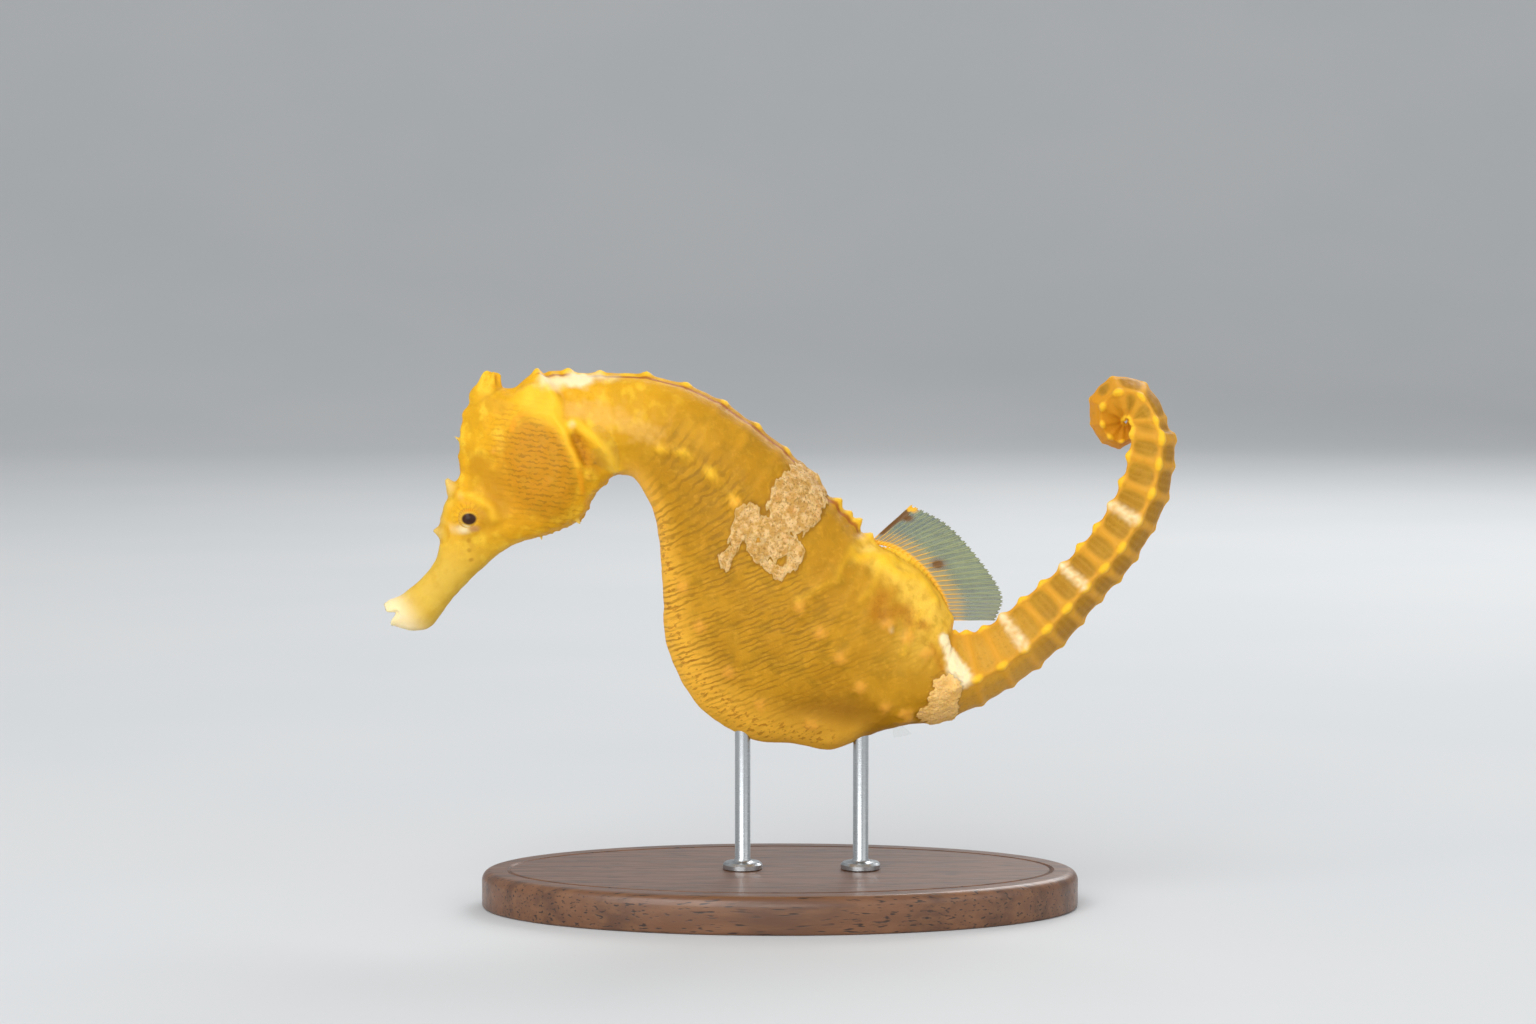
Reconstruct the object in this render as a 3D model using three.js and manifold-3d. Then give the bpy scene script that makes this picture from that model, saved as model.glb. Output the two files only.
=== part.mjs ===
// A big-bellied seahorse, life size, swimming level with its tail curled up, held over a plain display stand.
// Millimetres, +Z up. The mouth points to -X, the tail to +X, and the animal's left flank faces -Y.
// The origin is the middle of the underside of the stand's base.

import * as THREE from "three";
import { mergeVertices } from "three/addons/utils/BufferGeometryUtils.js";
import Module from "manifold-3d";

const wasm = await Module();
wasm.setup();

// ---------------------------------------------------------------- driving dimensions

const GAP = 0.3; // clearance between neighbouring pieces
const BODY_SIDES = 16; // facets round the body

// Stations along the body. Each is a cut across it, from a point on the back to a point on the belly:
// back and belly are [x, z], width is half the breadth, egg is above 0 where the body is broadest near
// the back and below 0 where it is broadest near the belly, and square is 1 where the cut is four-sided.
const STATIONS = [
  { name: "lips", back: [-63.4, 48.9], belly: [-62.2, 45.4], width: 1.4, egg: 0 },
  { name: "snout_end", back: [-60.2, 50.7], belly: [-56.5, 45.0], width: 2.4, egg: 0 },
  { name: "snout_middle", back: [-55.9, 54.7], belly: [-52.0, 50.4], width: 2.2, egg: 0 },
  { name: "nose_root", back: [-54.5, 58.2], belly: [-47.4, 54.9], width: 2.8, egg: 0 },
  { name: "eyes", back: [-53.5, 63.5], belly: [-42.6, 58.4], width: 3.9, egg: -0.1 },
  { name: "brow", back: [-51.0, 70.0], belly: [-35.9, 60.6], width: 4.5, egg: -0.25 },
  { name: "cheek", back: [-50.7, 76.8], belly: [-31.7, 62.8], width: 5.8, egg: -0.3 },
  { name: "crown_front", back: [-49.0, 82.2], belly: [-29.8, 66.2], width: 6.2, egg: -0.3 },
  { name: "crown_back", back: [-44.6, 83.8], belly: [-27.9, 68.3], width: 5.9, egg: -0.2 },
  { name: "nape", back: [-38.8, 85.8], belly: [-26.5, 69.5], width: 5.4, egg: -0.1 },
  { name: "neck_front", back: [-30.4, 85.5], belly: [-25.3, 69.8], width: 5.3, egg: 0 },
  { name: "neck_back", back: [-21.4, 85.2], belly: [-22.7, 68.5], width: 5.6, egg: 0.1 },
  { name: "shoulder", back: [-11.8, 82.3], belly: [-19.8, 62.1], width: 6.2, egg: 0.2 },
  { name: "chest", back: [-2.5, 76.1], belly: [-18.7, 51.2], width: 7.0, egg: 0.28 },
  { name: "breast", back: [3.6, 70.6], belly: [-17.8, 41.9], width: 7.6, egg: 0.3 },
  { name: "belly_front", back: [9.1, 64.2], belly: [-12.9, 32.6], width: 7.9, egg: 0.3 },
  { name: "belly_mid", back: [14.2, 58.9], belly: [-4.8, 27.4], width: 8.0, egg: 0.28 },
  { name: "belly_deep", back: [18.1, 56.6], belly: [2.4, 26.6], width: 7.7, egg: 0.25 },
  { name: "belly_low", back: [21.9, 54.0], belly: [8.3, 25.6], width: 7.2, egg: 0.2 },
  { name: "belly_rear", back: [25.0, 50.6], belly: [14.1, 27.8], width: 6.6, egg: 0.12 },
  { name: "vent", back: [27.2, 46.6], belly: [20.0, 29.3], width: 6.0, egg: 0.05, square: 0.3 },
  { name: "tail_ring_0", back: [27.8, 44.4], belly: [27.6, 30.4], width: 5.4, egg: 0, square: 0.8 },
  { name: "tail_ring_2", back: [32.6, 45.0], belly: [37.4, 35.6], width: 5.1, egg: 0, square: 1 },
  { name: "tail_ring_4", back: [38.8, 49.6], belly: [45.3, 42.2], width: 4.8, egg: 0, square: 1 },
  { name: "tail_ring_6", back: [45.2, 55.1], belly: [51.4, 49.5], width: 4.3, egg: 0, square: 1 },
  { name: "tail_ring_8", back: [50.6, 61.3], belly: [57.1, 56.2], width: 4.0, egg: 0, square: 1 },
  { name: "tail_ring_10", back: [54.6, 68.6], belly: [62.0, 65.8], width: 3.9, egg: 0, square: 1 },
  { name: "tail_ring_12", back: [56.2, 76.2], belly: [63.2, 75.0], width: 3.6, egg: 0, square: 1 },
];

// The curl of the tail, a loop that slips behind itself and winds in to the tip. Each cut across it gives its
// angle round the centre in degrees, the distance of its middle from the centre, its half depth, half its
// breadth, and how far it has slipped to the far side, along +Y.
const CURL_CENTRE = [55.4, 78.1];
const CURL = [
  { angle: -8, radius: 3.75, depth: 3.1, width: 3.4, shift: 0 },
  { angle: 35, radius: 3.4, depth: 2.85, width: 3.3, shift: 0.3 },
  { angle: 75, radius: 3.95, depth: 3.05, width: 3.1, shift: 1.3 },
  { angle: 110, radius: 3.9, depth: 3.3, width: 2.9, shift: 2.6 },
  { angle: 145, radius: 3.5, depth: 3.05, width: 2.6, shift: 3.8 },
  { angle: 180, radius: 2.9, depth: 2.5, width: 2.3, shift: 4.7 },
  { angle: 218, radius: 2.7, depth: 2.3, width: 2.0, shift: 5.1 },
  { angle: 255, radius: 2.65, depth: 2.1, width: 1.7, shift: 5.3 },
  { angle: 290, radius: 2.3, depth: 1.6, width: 1.3, shift: 5.4 },
  { angle: 325, radius: 1.8, depth: 1.15, width: 1.0, shift: 5.4 },
  { angle: 360, radius: 1.25, depth: 0.7, width: 0.75, shift: 5.4 },
  { angle: 395, radius: 0.85, depth: 0.3, width: 0.3, shift: 5.4 },
];

const HEAD_END = 8.6; // the place, counted in stations, where the head gives way to the neck
const TAIL_START = 21; // the station of the tail's first ring
const TAIL_RINGS = 25;
const CURL_RING = 12; // the last ring before the curl; up to it, there are two rings to a station
const CURL_RING_POWER = 1.5; // above 1 sets the curl's rings closer towards the tip
const FINE_RINGS = 16; // rings that are shaped more finely
const TAIL_ROLL_DEG = [-34, -38, -28, -22, -20]; // roll of the four-sided tail, from its root to its tip
const RING_KNOB = 0.5; // height of the knob where a ring crosses a ridge of the tail
const SQUARENESS = 0.62; // the power that squares up a cut of the tail; 1 leaves it round
// Knobs down the ridge of the back, one to a ring of the trunk: first and pitch count in stations.
const BACK_KNOBS = { first: 8.95, pitch: 0.655, count: 11, height: 0.5 };

const GAPE = { x: -61.9, z: 47.2, slope_deg: 30, notch: 3, open: 1.1, length: 6, breadth: 12 };
const EYE = { x: -49.4, z: 62.95, y: 3.05, radius: 1.9 };
// The gill covers: inner is how far each one's inner face lies from the middle of the head.
const GILL_COVER = { x: -38.0, z: 71.0, half_long: 8.2, half_short: 5.7, lean_deg: 20, inner: 3.2, reach: 8 };
// The coronet: a fluted crown of short points on the top of the head. breadth is across, as a share of its length.
const CORONET = {
  x: -46.6,
  z: 82.9,
  height: 5.2,
  radius: 2.6,
  taper: 0.75,
  flute: 0.12,
  breadth: 0.8,
  lean_deg: 11,
  points: 5,
  point: { radius: 1.0, tip_radius: 0.45, height: 0.9 },
};

// Spines of the head: where each leaves the bone and where it ends, as [x, y, z]. A pair has one on each side.
const SPINES = [
  { name: "nose", base: [-52.4, 0, 60.2], tip: [-55.5, 0, 60.8], radius: 1.7 },
  { name: "brow", base: [-50.6, 2.0, 65.9], tip: [-53.5, 2.2, 69.3], radius: 1.5, pair: true },
  { name: "throat", base: [-33.6, 1.4, 64.2], tip: [-31.6, 2.0, 61.6], radius: 1.4, pair: true },
];
const SPINE_TIP_RADIUS = 0.3;

const FIN_THICKNESS = 0.5;
const RAY_THICKNESS = 0.8;
// The dorsal fin: its rays spring from the raised root and spread to the free edge. Points are [x, z].
const DORSAL = {
  rays: 27,
  root: [[14.8, 59.2], [18.5, 58.3], [22.9, 55.0], [25.9, 50.6], [27.0, 46.9]],
  edge: [[21.0, 64.9], [26.8, 61.7], [32.0, 56.1], [35.6, 50.4], [34.6, 46.2]],
  clear_of_root: 0.06, // where the rays start, as a share of their length
  root_depth: 5.6, // of the fleshy ridge under it
  root_inward: [-0.62, -0.78], // the way that the ridge runs into the back
  root_half_width: [2.3, 1.1], // where the ridge meets the back, and under the rays
};
const PECTORAL = {
  root: [[-32.4, 76.2], [-29.7, 72.0]], // top and bottom of the fin's base, [x, z]
  root_y: 4.6,
  rays: 8,
  length: 5.6,
  spread_deg: 56,
  droop_deg: 2,
  flare: 0.42, // how far it stands off the neck for each millimetre of its length
};
const ANAL = { root: [19.0, 29.0], half_root: 0.9, root_depth: 1, rays: 4, length: 1.7, lean_deg: [-85, -40] };

const STAND = {
  base_length: 96,
  base_width: 52,
  base_height: 6,
  base_bevel: 0.8,
  rod_radius: 1.25,
  foot_radius: 3.2,
  foot_height: 1.2,
  rod_x: [-6, 13],
  rod_reach: 34, // height that a rod would reach if the belly did not stop it
};

// Colours as seen in daylight.
const FINISH = {
  skin: { color: 0xd79b1d, roughness: 0.5 },
  snout: { color: 0xecc23c, roughness: 0.45 },
  head: { color: 0xe3a51f, roughness: 0.5 },
  gill_cover: { color: 0xd6951a, roughness: 0.5 },
  coronet: { color: 0xecb528, roughness: 0.5 },
  tail: { color: 0xcf9220, roughness: 0.5 },
  eye: { color: 0x3a2413, roughness: 0.1 },
  fin_base: { color: 0xf0b92c, roughness: 0.5 },
  fin: { color: 0xc9cf9a, roughness: 0.35 },
  wood: { color: 0x5a3a24, roughness: 0.5 },
  steel: { color: 0xb8bbbd, roughness: 0.3, metalness: 1 },
};

// ---------------------------------------------------------------- small helpers

const lerp = THREE.MathUtils.lerp;
const rad = THREE.MathUtils.degToRad;
const clamp01 = (x) => THREE.MathUtils.clamp(x, 0, 1);
const bump = (x) => Math.exp(-x * x);

// A closed sphere grid of the three.js library, with each vertex moved to place(row, turn): row counts from one
// pole to the other and turn is the angle round the axis.
function wrapped(sides, rows, place) {
  const geometry = new THREE.SphereGeometry(1, sides, rows);
  const position = geometry.getAttribute("position");
  for (let row = 0; row <= rows; row++)
    for (let side = 0; side <= sides; side++) {
      const turn = (2 * Math.PI * (side % sides)) / sides;
      const p = place(row, row === 0 || row === rows ? 0 : turn);
      position.setXYZ(row * (sides + 1) + side, p.x, p.y, p.z);
    }
  return geometry;
}

// A closed box grid with each vertex moved to place(u, v, side): u runs across, v along, and side is -1 or 1.
function plate(columns, rows, place) {
  const geometry = new THREE.BoxGeometry(1, 1, 1, columns, rows, 1);
  const position = geometry.getAttribute("position");
  for (let i = 0; i < position.count; i++) {
    const p = place(position.getX(i) + 0.5, position.getY(i) + 0.5, 2 * position.getZ(i));
    position.setXYZ(i, p.x, p.y, p.z);
  }
  return geometry;
}

// A manifold-3d solid of a closed three.js geometry, whichever way its faces point.
function solid(geometry) {
  const bare = new THREE.BufferGeometry();
  bare.setAttribute("position", geometry.getAttribute("position"));
  bare.setIndex(geometry.getIndex());
  const merged = mergeVertices(bare, 1e-4);
  const triVerts = new Uint32Array(merged.getIndex().array);
  const vertProperties = new Float32Array(merged.getAttribute("position").array);
  const made = new wasm.Manifold(new wasm.Mesh({ numProp: 3, vertProperties, triVerts }));
  if (made.volume() > 0) return made;
  for (let i = 0; i < triVerts.length; i += 3)
    [triVerts[i + 1], triVerts[i + 2]] = [triVerts[i + 2], triVerts[i + 1]];
  return new wasm.Manifold(new wasm.Mesh({ numProp: 3, vertProperties, triVerts }));
}

function geometryOf(manifold) {
  const mesh = manifold.getMesh();
  const geometry = new THREE.BufferGeometry();
  const position = new Float32Array(mesh.numVert * 3);
  for (let i = 0; i < mesh.numVert; i++)
    position.set(mesh.vertProperties.subarray(i * mesh.numProp, i * mesh.numProp + 3), i * 3);
  geometry.setAttribute("position", new THREE.BufferAttribute(position, 3));
  geometry.setIndex(new THREE.BufferAttribute(mesh.triVerts, 1));
  geometry.computeVertexNormals();
  return geometry;
}

const largest = (manifold) =>
  manifold.decompose().reduce((best, piece) => (piece.volume() > best.volume() ? piece : best));

// A cone between two points, with a blunt tip.
function spike(base, tip, baseRadius, tipRadius = SPINE_TIP_RADIUS) {
  const axis = new THREE.Vector3().subVectors(tip, base);
  const geometry = new THREE.CylinderGeometry(tipRadius, baseRadius, axis.length(), 6);
  const turn = new THREE.Quaternion().setFromUnitVectors(new THREE.Vector3(0, 1, 0), axis.clone().normalize());
  geometry.applyQuaternion(turn);
  geometry.translate((base.x + tip.x) / 2, (base.y + tip.y) / 2, (base.z + tip.z) / 2);
  return solid(geometry);
}

// ---------------------------------------------------------------- the line of the body

function curlStations() {
  return CURL.map(({ angle, radius, depth, width, shift }) => {
    const at = (r) => [CURL_CENTRE[0] + r * Math.cos(rad(angle)), CURL_CENTRE[1] + r * Math.sin(rad(angle))];
    return { back: at(radius - depth), belly: at(radius + depth), width, egg: 0, square: 1, shift };
  });
}

const stations = [...STATIONS, ...curlStations()];
const LAST = stations.length - 1;
const curve = (points) => new THREE.CatmullRomCurve3(points, false, "catmullrom", 0.5);
const backLine = curve(stations.map((s) => new THREE.Vector3(s.back[0], s.shift ?? 0, s.back[1])));
const bellyLine = curve(stations.map((s) => new THREE.Vector3(s.belly[0], s.shift ?? 0, s.belly[1])));
const shapeLine = curve(stations.map((s) => new THREE.Vector3(s.width, s.egg, s.square ?? 0)));

// The cut across the body at place t, counted in stations.
function sectionAt(t) {
  const share = clamp01(t / LAST);
  const back = backLine.getPoint(share);
  const belly = bellyLine.getPoint(share);
  const shape = shapeLine.getPoint(share);
  const up = new THREE.Vector3().subVectors(back, belly);
  const depth = up.length() / 2;
  return {
    centre: new THREE.Vector3().addVectors(back, belly).multiplyScalar(0.5),
    up: up.normalize(),
    depth,
    width: shape.x,
    egg: shape.y,
    square: clamp01(shape.z),
  };
}

// The place of a ring of the tail, counted in stations.
function tailPlace(ring) {
  if (ring <= CURL_RING) return TAIL_START + ring / 2;
  const share = (ring - CURL_RING) / (TAIL_RINGS - CURL_RING);
  return lerp(TAIL_START + CURL_RING / 2, LAST, 1 - (1 - share) ** CURL_RING_POWER);
}

function tailRoll(ring) {
  const along = clamp01(ring / TAIL_RINGS) * (TAIL_ROLL_DEG.length - 1);
  const i = Math.min(Math.floor(along), TAIL_ROLL_DEG.length - 2);
  return rad(lerp(TAIL_ROLL_DEG[i], TAIL_ROLL_DEG[i + 1], along - i));
}

// A point of the skin. ring is the tail's ring number, or below 0 ahead of the tail, and grow thickens the body.
function skinPoint(t, ring, turn, grow = 0) {
  const s = sectionAt(t);
  const egg = new THREE.Vector2(
    Math.cos(turn),
    (Math.sin(turn) * (1 + s.egg * Math.cos(turn))) / (1 + (s.egg * s.egg) / 2),
  );
  const roll = tailRoll(ring);
  const corner = (x) => Math.sign(x) * Math.abs(x) ** SQUARENESS;
  const box = new THREE.Vector2(corner(Math.cos(turn - roll)), corner(Math.sin(turn - roll)));
  box.rotateAround(new THREE.Vector2(), roll);
  const reach = 1 + 0.14 * Math.abs(Math.sin(2 * roll)); // how far a rolled square reaches past an upright one
  box.divideScalar(reach);
  const shape = egg.lerp(box, s.square);
  let extra = grow;
  if (ring >= 0) {
    const onRing = bump((ring - Math.round(ring)) / 0.22);
    const onRidge = bump(Math.cos(2 * (turn - roll)) / 0.42);
    const size = Math.min(1, s.depth / 3.5) * s.square;
    extra += RING_KNOB * size * (onRing * onRidge - 0.35);
  } else {
    const knob = Math.round((t - BACK_KNOBS.first) / BACK_KNOBS.pitch);
    const along = (t - BACK_KNOBS.first) / BACK_KNOBS.pitch - knob;
    const there = knob >= 0 && knob < BACK_KNOBS.count ? 1 : 0;
    extra += BACK_KNOBS.height * there * bump(along / 0.2) * bump(Math.sin(turn / 2) / 0.18);
  }
  const sideways = new THREE.Vector3(0, -shape.y * (s.width + extra), 0);
  return sideways.add(s.centre).addScaledVector(s.up, shape.x * (s.depth + extra));
}

// The whole body from lips to tail tip as one solid, thickened by grow.
function wholeBody(grow = 0) {
  const rows = [];
  const { first, pitch, count } = BACK_KNOBS;
  for (let t = 0; t < first - 0.3; t += 0.35) rows.push({ t, ring: -1 });
  for (let knob = 0; knob < count; knob++)
    for (const along of [-0.15, 0, 0.15]) rows.push({ t: first + pitch * knob + along, ring: -1 });
  for (let t = first + pitch * (count - 0.4); t < TAIL_START - 0.1; t += 0.35) rows.push({ t, ring: -1 });
  for (let ring = 0; ring < TAIL_RINGS; ring++)
    for (const along of ring < FINE_RINGS ? [0, 0.35, 0.65] : [0, 0.5])
      rows.push({ t: tailPlace(ring + along), ring: ring + along });
  return solid(
    wrapped(BODY_SIDES, rows.length + 1, (row, turn) => {
      if (row === 0) return sectionAt(0).centre.clone().add(new THREE.Vector3(-0.3 - grow, 0, -0.2));
      if (row > rows.length) return sectionAt(LAST).centre.clone().add(new THREE.Vector3(grow, 0, 0));
      const { t, ring } = rows[row - 1];
      const twist = tailRoll(ring) * sectionAt(t).square; // keeps a line of corners on each ridge of the tail
      return skinPoint(t, ring, turn + twist, grow);
    }),
  );
}

// ---------------------------------------------------------------- pieces of the head

const MIRRORED = { left: -1, right: 1 }; // the left side faces -Y

function headSpines() {
  const made = [];
  for (const { base, tip, radius, pair } of SPINES)
    for (const side of pair ? Object.values(MIRRORED) : [1]) {
      const [from, to] = [base, tip].map(([x, y, z]) => new THREE.Vector3(x, side * y, z));
      made.push(spike(from, to, radius));
    }
  return made;
}

function coronetSolid() {
  const { points, radius, height, point } = CORONET;
  const waist = new THREE.CylinderGeometry(radius * CORONET.taper, radius * 1.1, height, 2 * points, 2);
  const position = waist.getAttribute("position");
  for (let i = 0; i < position.count; i++) {
    const [x, y, z] = [position.getX(i), position.getY(i), position.getZ(i)];
    const flute = 1 + CORONET.flute * Math.cos(points * Math.atan2(z, x));
    position.setXYZ(i, x * flute, y, z * flute);
  }
  waist.rotateX(Math.PI / 2);
  let made = solid(waist);
  for (let i = 0; i < points; i++) {
    const turn = (2 * Math.PI * i) / points;
    const at = new THREE.Vector3(Math.cos(turn), Math.sin(turn), 0);
    const root = at.clone().multiplyScalar(radius * 0.55).setZ(height * 0.3);
    const tip = at.clone().multiplyScalar(radius * 0.8).setZ(height * 0.5 + point.height);
    made = made.add(spike(root, tip, point.radius, point.tip_radius));
  }
  return made
    .scale([1, CORONET.breadth, 1])
    .rotate([0, CORONET.lean_deg, 0])
    .translate([CORONET.x, 0, CORONET.z]);
}

// What parts the upper lip from the lower jaw: a thin slot that opens into a notch between the lips.
function gapeSolid() {
  const { x, z, slope_deg, notch, open, length, breadth } = GAPE;
  const outline = new THREE.Shape();
  outline.moveTo(length, -GAP / 2);
  outline.lineTo(length, GAP / 2);
  outline.lineTo(0, GAP / 2);
  outline.lineTo(-notch, open);
  outline.lineTo(-notch, -open);
  outline.lineTo(0, -GAP / 2);
  const slot = new THREE.ExtrudeGeometry(outline, { depth: breadth, bevelEnabled: false });
  slot.translate(0, 0, -breadth / 2);
  slot.rotateX(Math.PI / 2);
  slot.rotateY(rad(-slope_deg));
  slot.translate(x, 0, z);
  return solid(slot);
}

function eyeball(side, grow = 0) {
  const ball = new THREE.SphereGeometry(EYE.radius + grow, 12, 8);
  ball.translate(EYE.x, side * EYE.y, EYE.z);
  return solid(ball);
}

// The plug that a gill cover is cut from: a leaning oval pushed into the side of the head.
function gillPlug(side, grow = 0) {
  const oval = new THREE.Shape();
  const long = GILL_COVER.half_long + grow;
  const short = GILL_COVER.half_short + grow;
  oval.absellipse(0, 0, short, long, 0, 2 * Math.PI, false, 0);
  const depth = GILL_COVER.reach + grow;
  const plug = new THREE.ExtrudeGeometry(oval, { depth, bevelEnabled: false, curveSegments: 10 });
  plug.rotateX(Math.PI / 2); // now extruded along -Y with its long axis upright
  plug.rotateY(rad(-GILL_COVER.lean_deg));
  if (side > 0) plug.scale(1, -1, 1);
  plug.translate(GILL_COVER.x, side * (GILL_COVER.inner - grow), GILL_COVER.z);
  return solid(plug);
}

// ---------------------------------------------------------------- fins

const flatCurve = (points) => curve(points.map(([x, z]) => new THREE.Vector3(x, 0, z)));

// Thickness of a fin across its rays: thick on a ray, thin between.
const rayThickness = (u, rays) =>
  lerp(FIN_THICKNESS, RAY_THICKNESS, Math.abs(Math.round(u * 2 * (rays - 1)) % 2 ? 0 : 1)) / 2;

function dorsalFin() {
  const root = flatCurve(DORSAL.root);
  const edge = flatCurve(DORSAL.edge);
  return solid(
    plate(2 * (DORSAL.rays - 1), 1, (u, v, side) => {
      const p = root.getPoint(u).lerp(edge.getPoint(u), lerp(DORSAL.clear_of_root, 1, v));
      p.y = side * lerp(rayThickness(u, DORSAL.rays), FIN_THICKNESS / 2, v);
      return p;
    }),
  );
}

// The fleshy ridge that the dorsal fin stands on.
function dorsalFinRoot() {
  const root = flatCurve(DORSAL.root);
  const rows = 10;
  const half = DORSAL.root_depth / 2;
  return solid(
    wrapped(10, rows, (row, turn) => {
      const share = row / rows;
      const size = Math.sin(Math.PI * share) ** 0.3;
      const outer = (1 + Math.cos(turn)) / 2;
      const depth = half * (1 - Math.cos(turn) * size);
      const inward = new THREE.Vector3(DORSAL.root_inward[0], 0, DORSAL.root_inward[1]).multiplyScalar(depth);
      const width = lerp(DORSAL.root_half_width[0], DORSAL.root_half_width[1], outer) * size;
      return root.getPoint(share).add(inward).setY(Math.sin(turn) * width);
    }),
  );
}

function pectoralFin(side) {
  const { root, root_y, rays, length, spread_deg, droop_deg, flare } = PECTORAL;
  return solid(
    plate(2 * (rays - 1), 2, (u, v, face) => {
      const angle = rad(lerp(spread_deg / 2, -spread_deg / 2, u) - droop_deg);
      const reach = v * length * (1 - 0.25 * (2 * u - 1) ** 2); // the middle rays are the longest
      const thick = lerp(rayThickness(u, rays), FIN_THICKNESS / 2, v);
      return new THREE.Vector3(
        lerp(root[0][0], root[1][0], u) + reach * Math.cos(angle),
        side * (root_y + flare * reach + face * thick),
        lerp(root[0][1], root[1][1], u) + reach * Math.sin(angle),
      );
    }),
  );
}

function analFin() {
  return solid(
    plate(2 * (ANAL.rays - 1), 1, (u, v, side) => {
      const angle = rad(lerp(ANAL.lean_deg[0], ANAL.lean_deg[1], u));
      const reach = v * ANAL.length - ANAL.root_depth * (1 - v); // starts inside the body, before it is trimmed
      return new THREE.Vector3(
        ANAL.root[0] + lerp(-ANAL.half_root, ANAL.half_root, u) + reach * Math.cos(angle),
        (side * FIN_THICKNESS) / 2,
        ANAL.root[1] + reach * Math.sin(angle),
      );
    }),
  );
}

// ---------------------------------------------------------------- the stand

function standBase() {
  const { base_length, base_width, base_height, base_bevel } = STAND;
  const outline = new THREE.Shape();
  const half = [base_length / 2 - base_bevel, base_width / 2 - base_bevel];
  outline.absellipse(0, 0, half[0], half[1], 0, 2 * Math.PI, false, 0);
  const geometry = new THREE.ExtrudeGeometry(outline, {
    depth: base_height - 2 * base_bevel,
    bevelThickness: base_bevel,
    bevelSize: base_bevel,
    bevelSegments: 2,
    curveSegments: 20,
  });
  geometry.translate(0, 0, base_bevel);
  return solid(geometry);
}

// A rod turned from one bar, with a round foot that sits on the base.
function standRod(x) {
  const { base_height, rod_radius, foot_radius, foot_height, rod_reach } = STAND;
  const profile = [
    new THREE.Vector2(0, base_height),
    new THREE.Vector2(foot_radius, base_height),
    new THREE.Vector2(foot_radius, base_height + foot_height * 0.7),
    new THREE.Vector2(foot_radius - 0.4, base_height + foot_height),
    new THREE.Vector2(rod_radius, base_height + foot_height),
    new THREE.Vector2(rod_radius, rod_reach),
    new THREE.Vector2(0, rod_reach),
  ];
  const rod = new THREE.LatheGeometry(profile, 12);
  rod.rotateX(Math.PI / 2);
  rod.translate(x, 0, 0);
  return solid(rod);
}

// ---------------------------------------------------------------- parting the body

// A thin slab across the body at place t.
function cutAt(t) {
  const s = sectionAt(t);
  const margin = Math.min(1.2, 0.25 + 0.1 * s.depth);
  const slab = new THREE.BoxGeometry(2 * (s.depth + margin), 40, GAP);
  const normal = new THREE.Vector3().crossVectors(s.up, new THREE.Vector3(0, 1, 0));
  slab.applyMatrix4(new THREE.Matrix4().makeBasis(s.up, new THREE.Vector3(0, 1, 0), normal));
  slab.translate(s.centre.x, s.centre.y, s.centre.z);
  return solid(slab);
}

const PROBE = 0.4; // side of the small cube that finds the piece at a place

// The lengths of the body in order, each with the place where it ends.
const LENGTHS = [
  { name: "mouth", end: 0.55, finish: "snout" },
  { name: "snout", end: 3, finish: "snout" },
  { name: "head", end: HEAD_END, finish: "head" },
  { name: "neck", end: 11.4, finish: "skin" },
  { name: "chest", end: 14, finish: "skin" },
  { name: "belly", end: 17.3, finish: "skin" },
  { name: "loin", end: TAIL_START - 0.25, finish: "skin" },
  { name: "tail_root", end: tailPlace(4.5), finish: "tail" },
  { name: "tail_low", end: tailPlace(8.5), finish: "tail" },
  { name: "tail_middle", end: tailPlace(12.5), finish: "tail" },
  { name: "tail_high", end: tailPlace(15.5), finish: "tail" },
  { name: "tail_bend", end: tailPlace(18.5), finish: "tail" },
  { name: "tail_curl", end: tailPlace(21.5), finish: "tail" },
  { name: "tail_tip", end: LAST, finish: "tail" },
];

const nodes = new Map(); // node name to { solid, finish }

function partBody(body) {
  let parted = body;
  for (const { end } of LENGTHS.slice(0, -1)) parted = parted.subtract(cutAt(end));
  const pieces = parted.decompose();
  let start = 0;
  for (const { name, end, finish } of LENGTHS) {
    const seed = sectionAt((start + end) / 2).centre;
    const probe = solid(new THREE.BoxGeometry(PROBE, PROBE, PROBE).translate(seed.x, seed.y, seed.z));
    const found = pieces.find((piece) => piece.intersect(probe).volume() > 0);
    if (!found) throw new Error("no piece of the body holds the middle of " + name);
    nodes.set(name, { solid: found, finish });
    start = end;
  }
}

// ---------------------------------------------------------------- assembly

let body = wholeBody();
const clear = wholeBody(GAP);
for (const spine of headSpines()) body = body.add(spine);
for (const side of Object.values(MIRRORED)) body = body.subtract(eyeball(side, GAP));
partBody(body);

const lips = nodes.get("mouth").solid.subtract(gapeSolid()).decompose();
lips.sort((a, b) => b.boundingBox().max[2] - a.boundingBox().max[2]);
nodes.delete("mouth");
nodes.set("upper_lip", { solid: lips[0], finish: "snout" });
nodes.set("lower_jaw", { solid: lips[1], finish: "snout" });

for (const [name, side] of Object.entries(MIRRORED)) {
  const head = nodes.get("head").solid;
  nodes.set("gill_cover_" + name, { solid: largest(head.intersect(gillPlug(side))), finish: "gill_cover" });
  nodes.set("head", { solid: largest(head.subtract(gillPlug(side, GAP))), finish: "head" });
  nodes.set("eye_" + name, { solid: eyeball(side), finish: "eye" });
  nodes.set("pectoral_fin_" + name, { solid: largest(pectoralFin(side).subtract(clear)), finish: "fin" });
}

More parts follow.
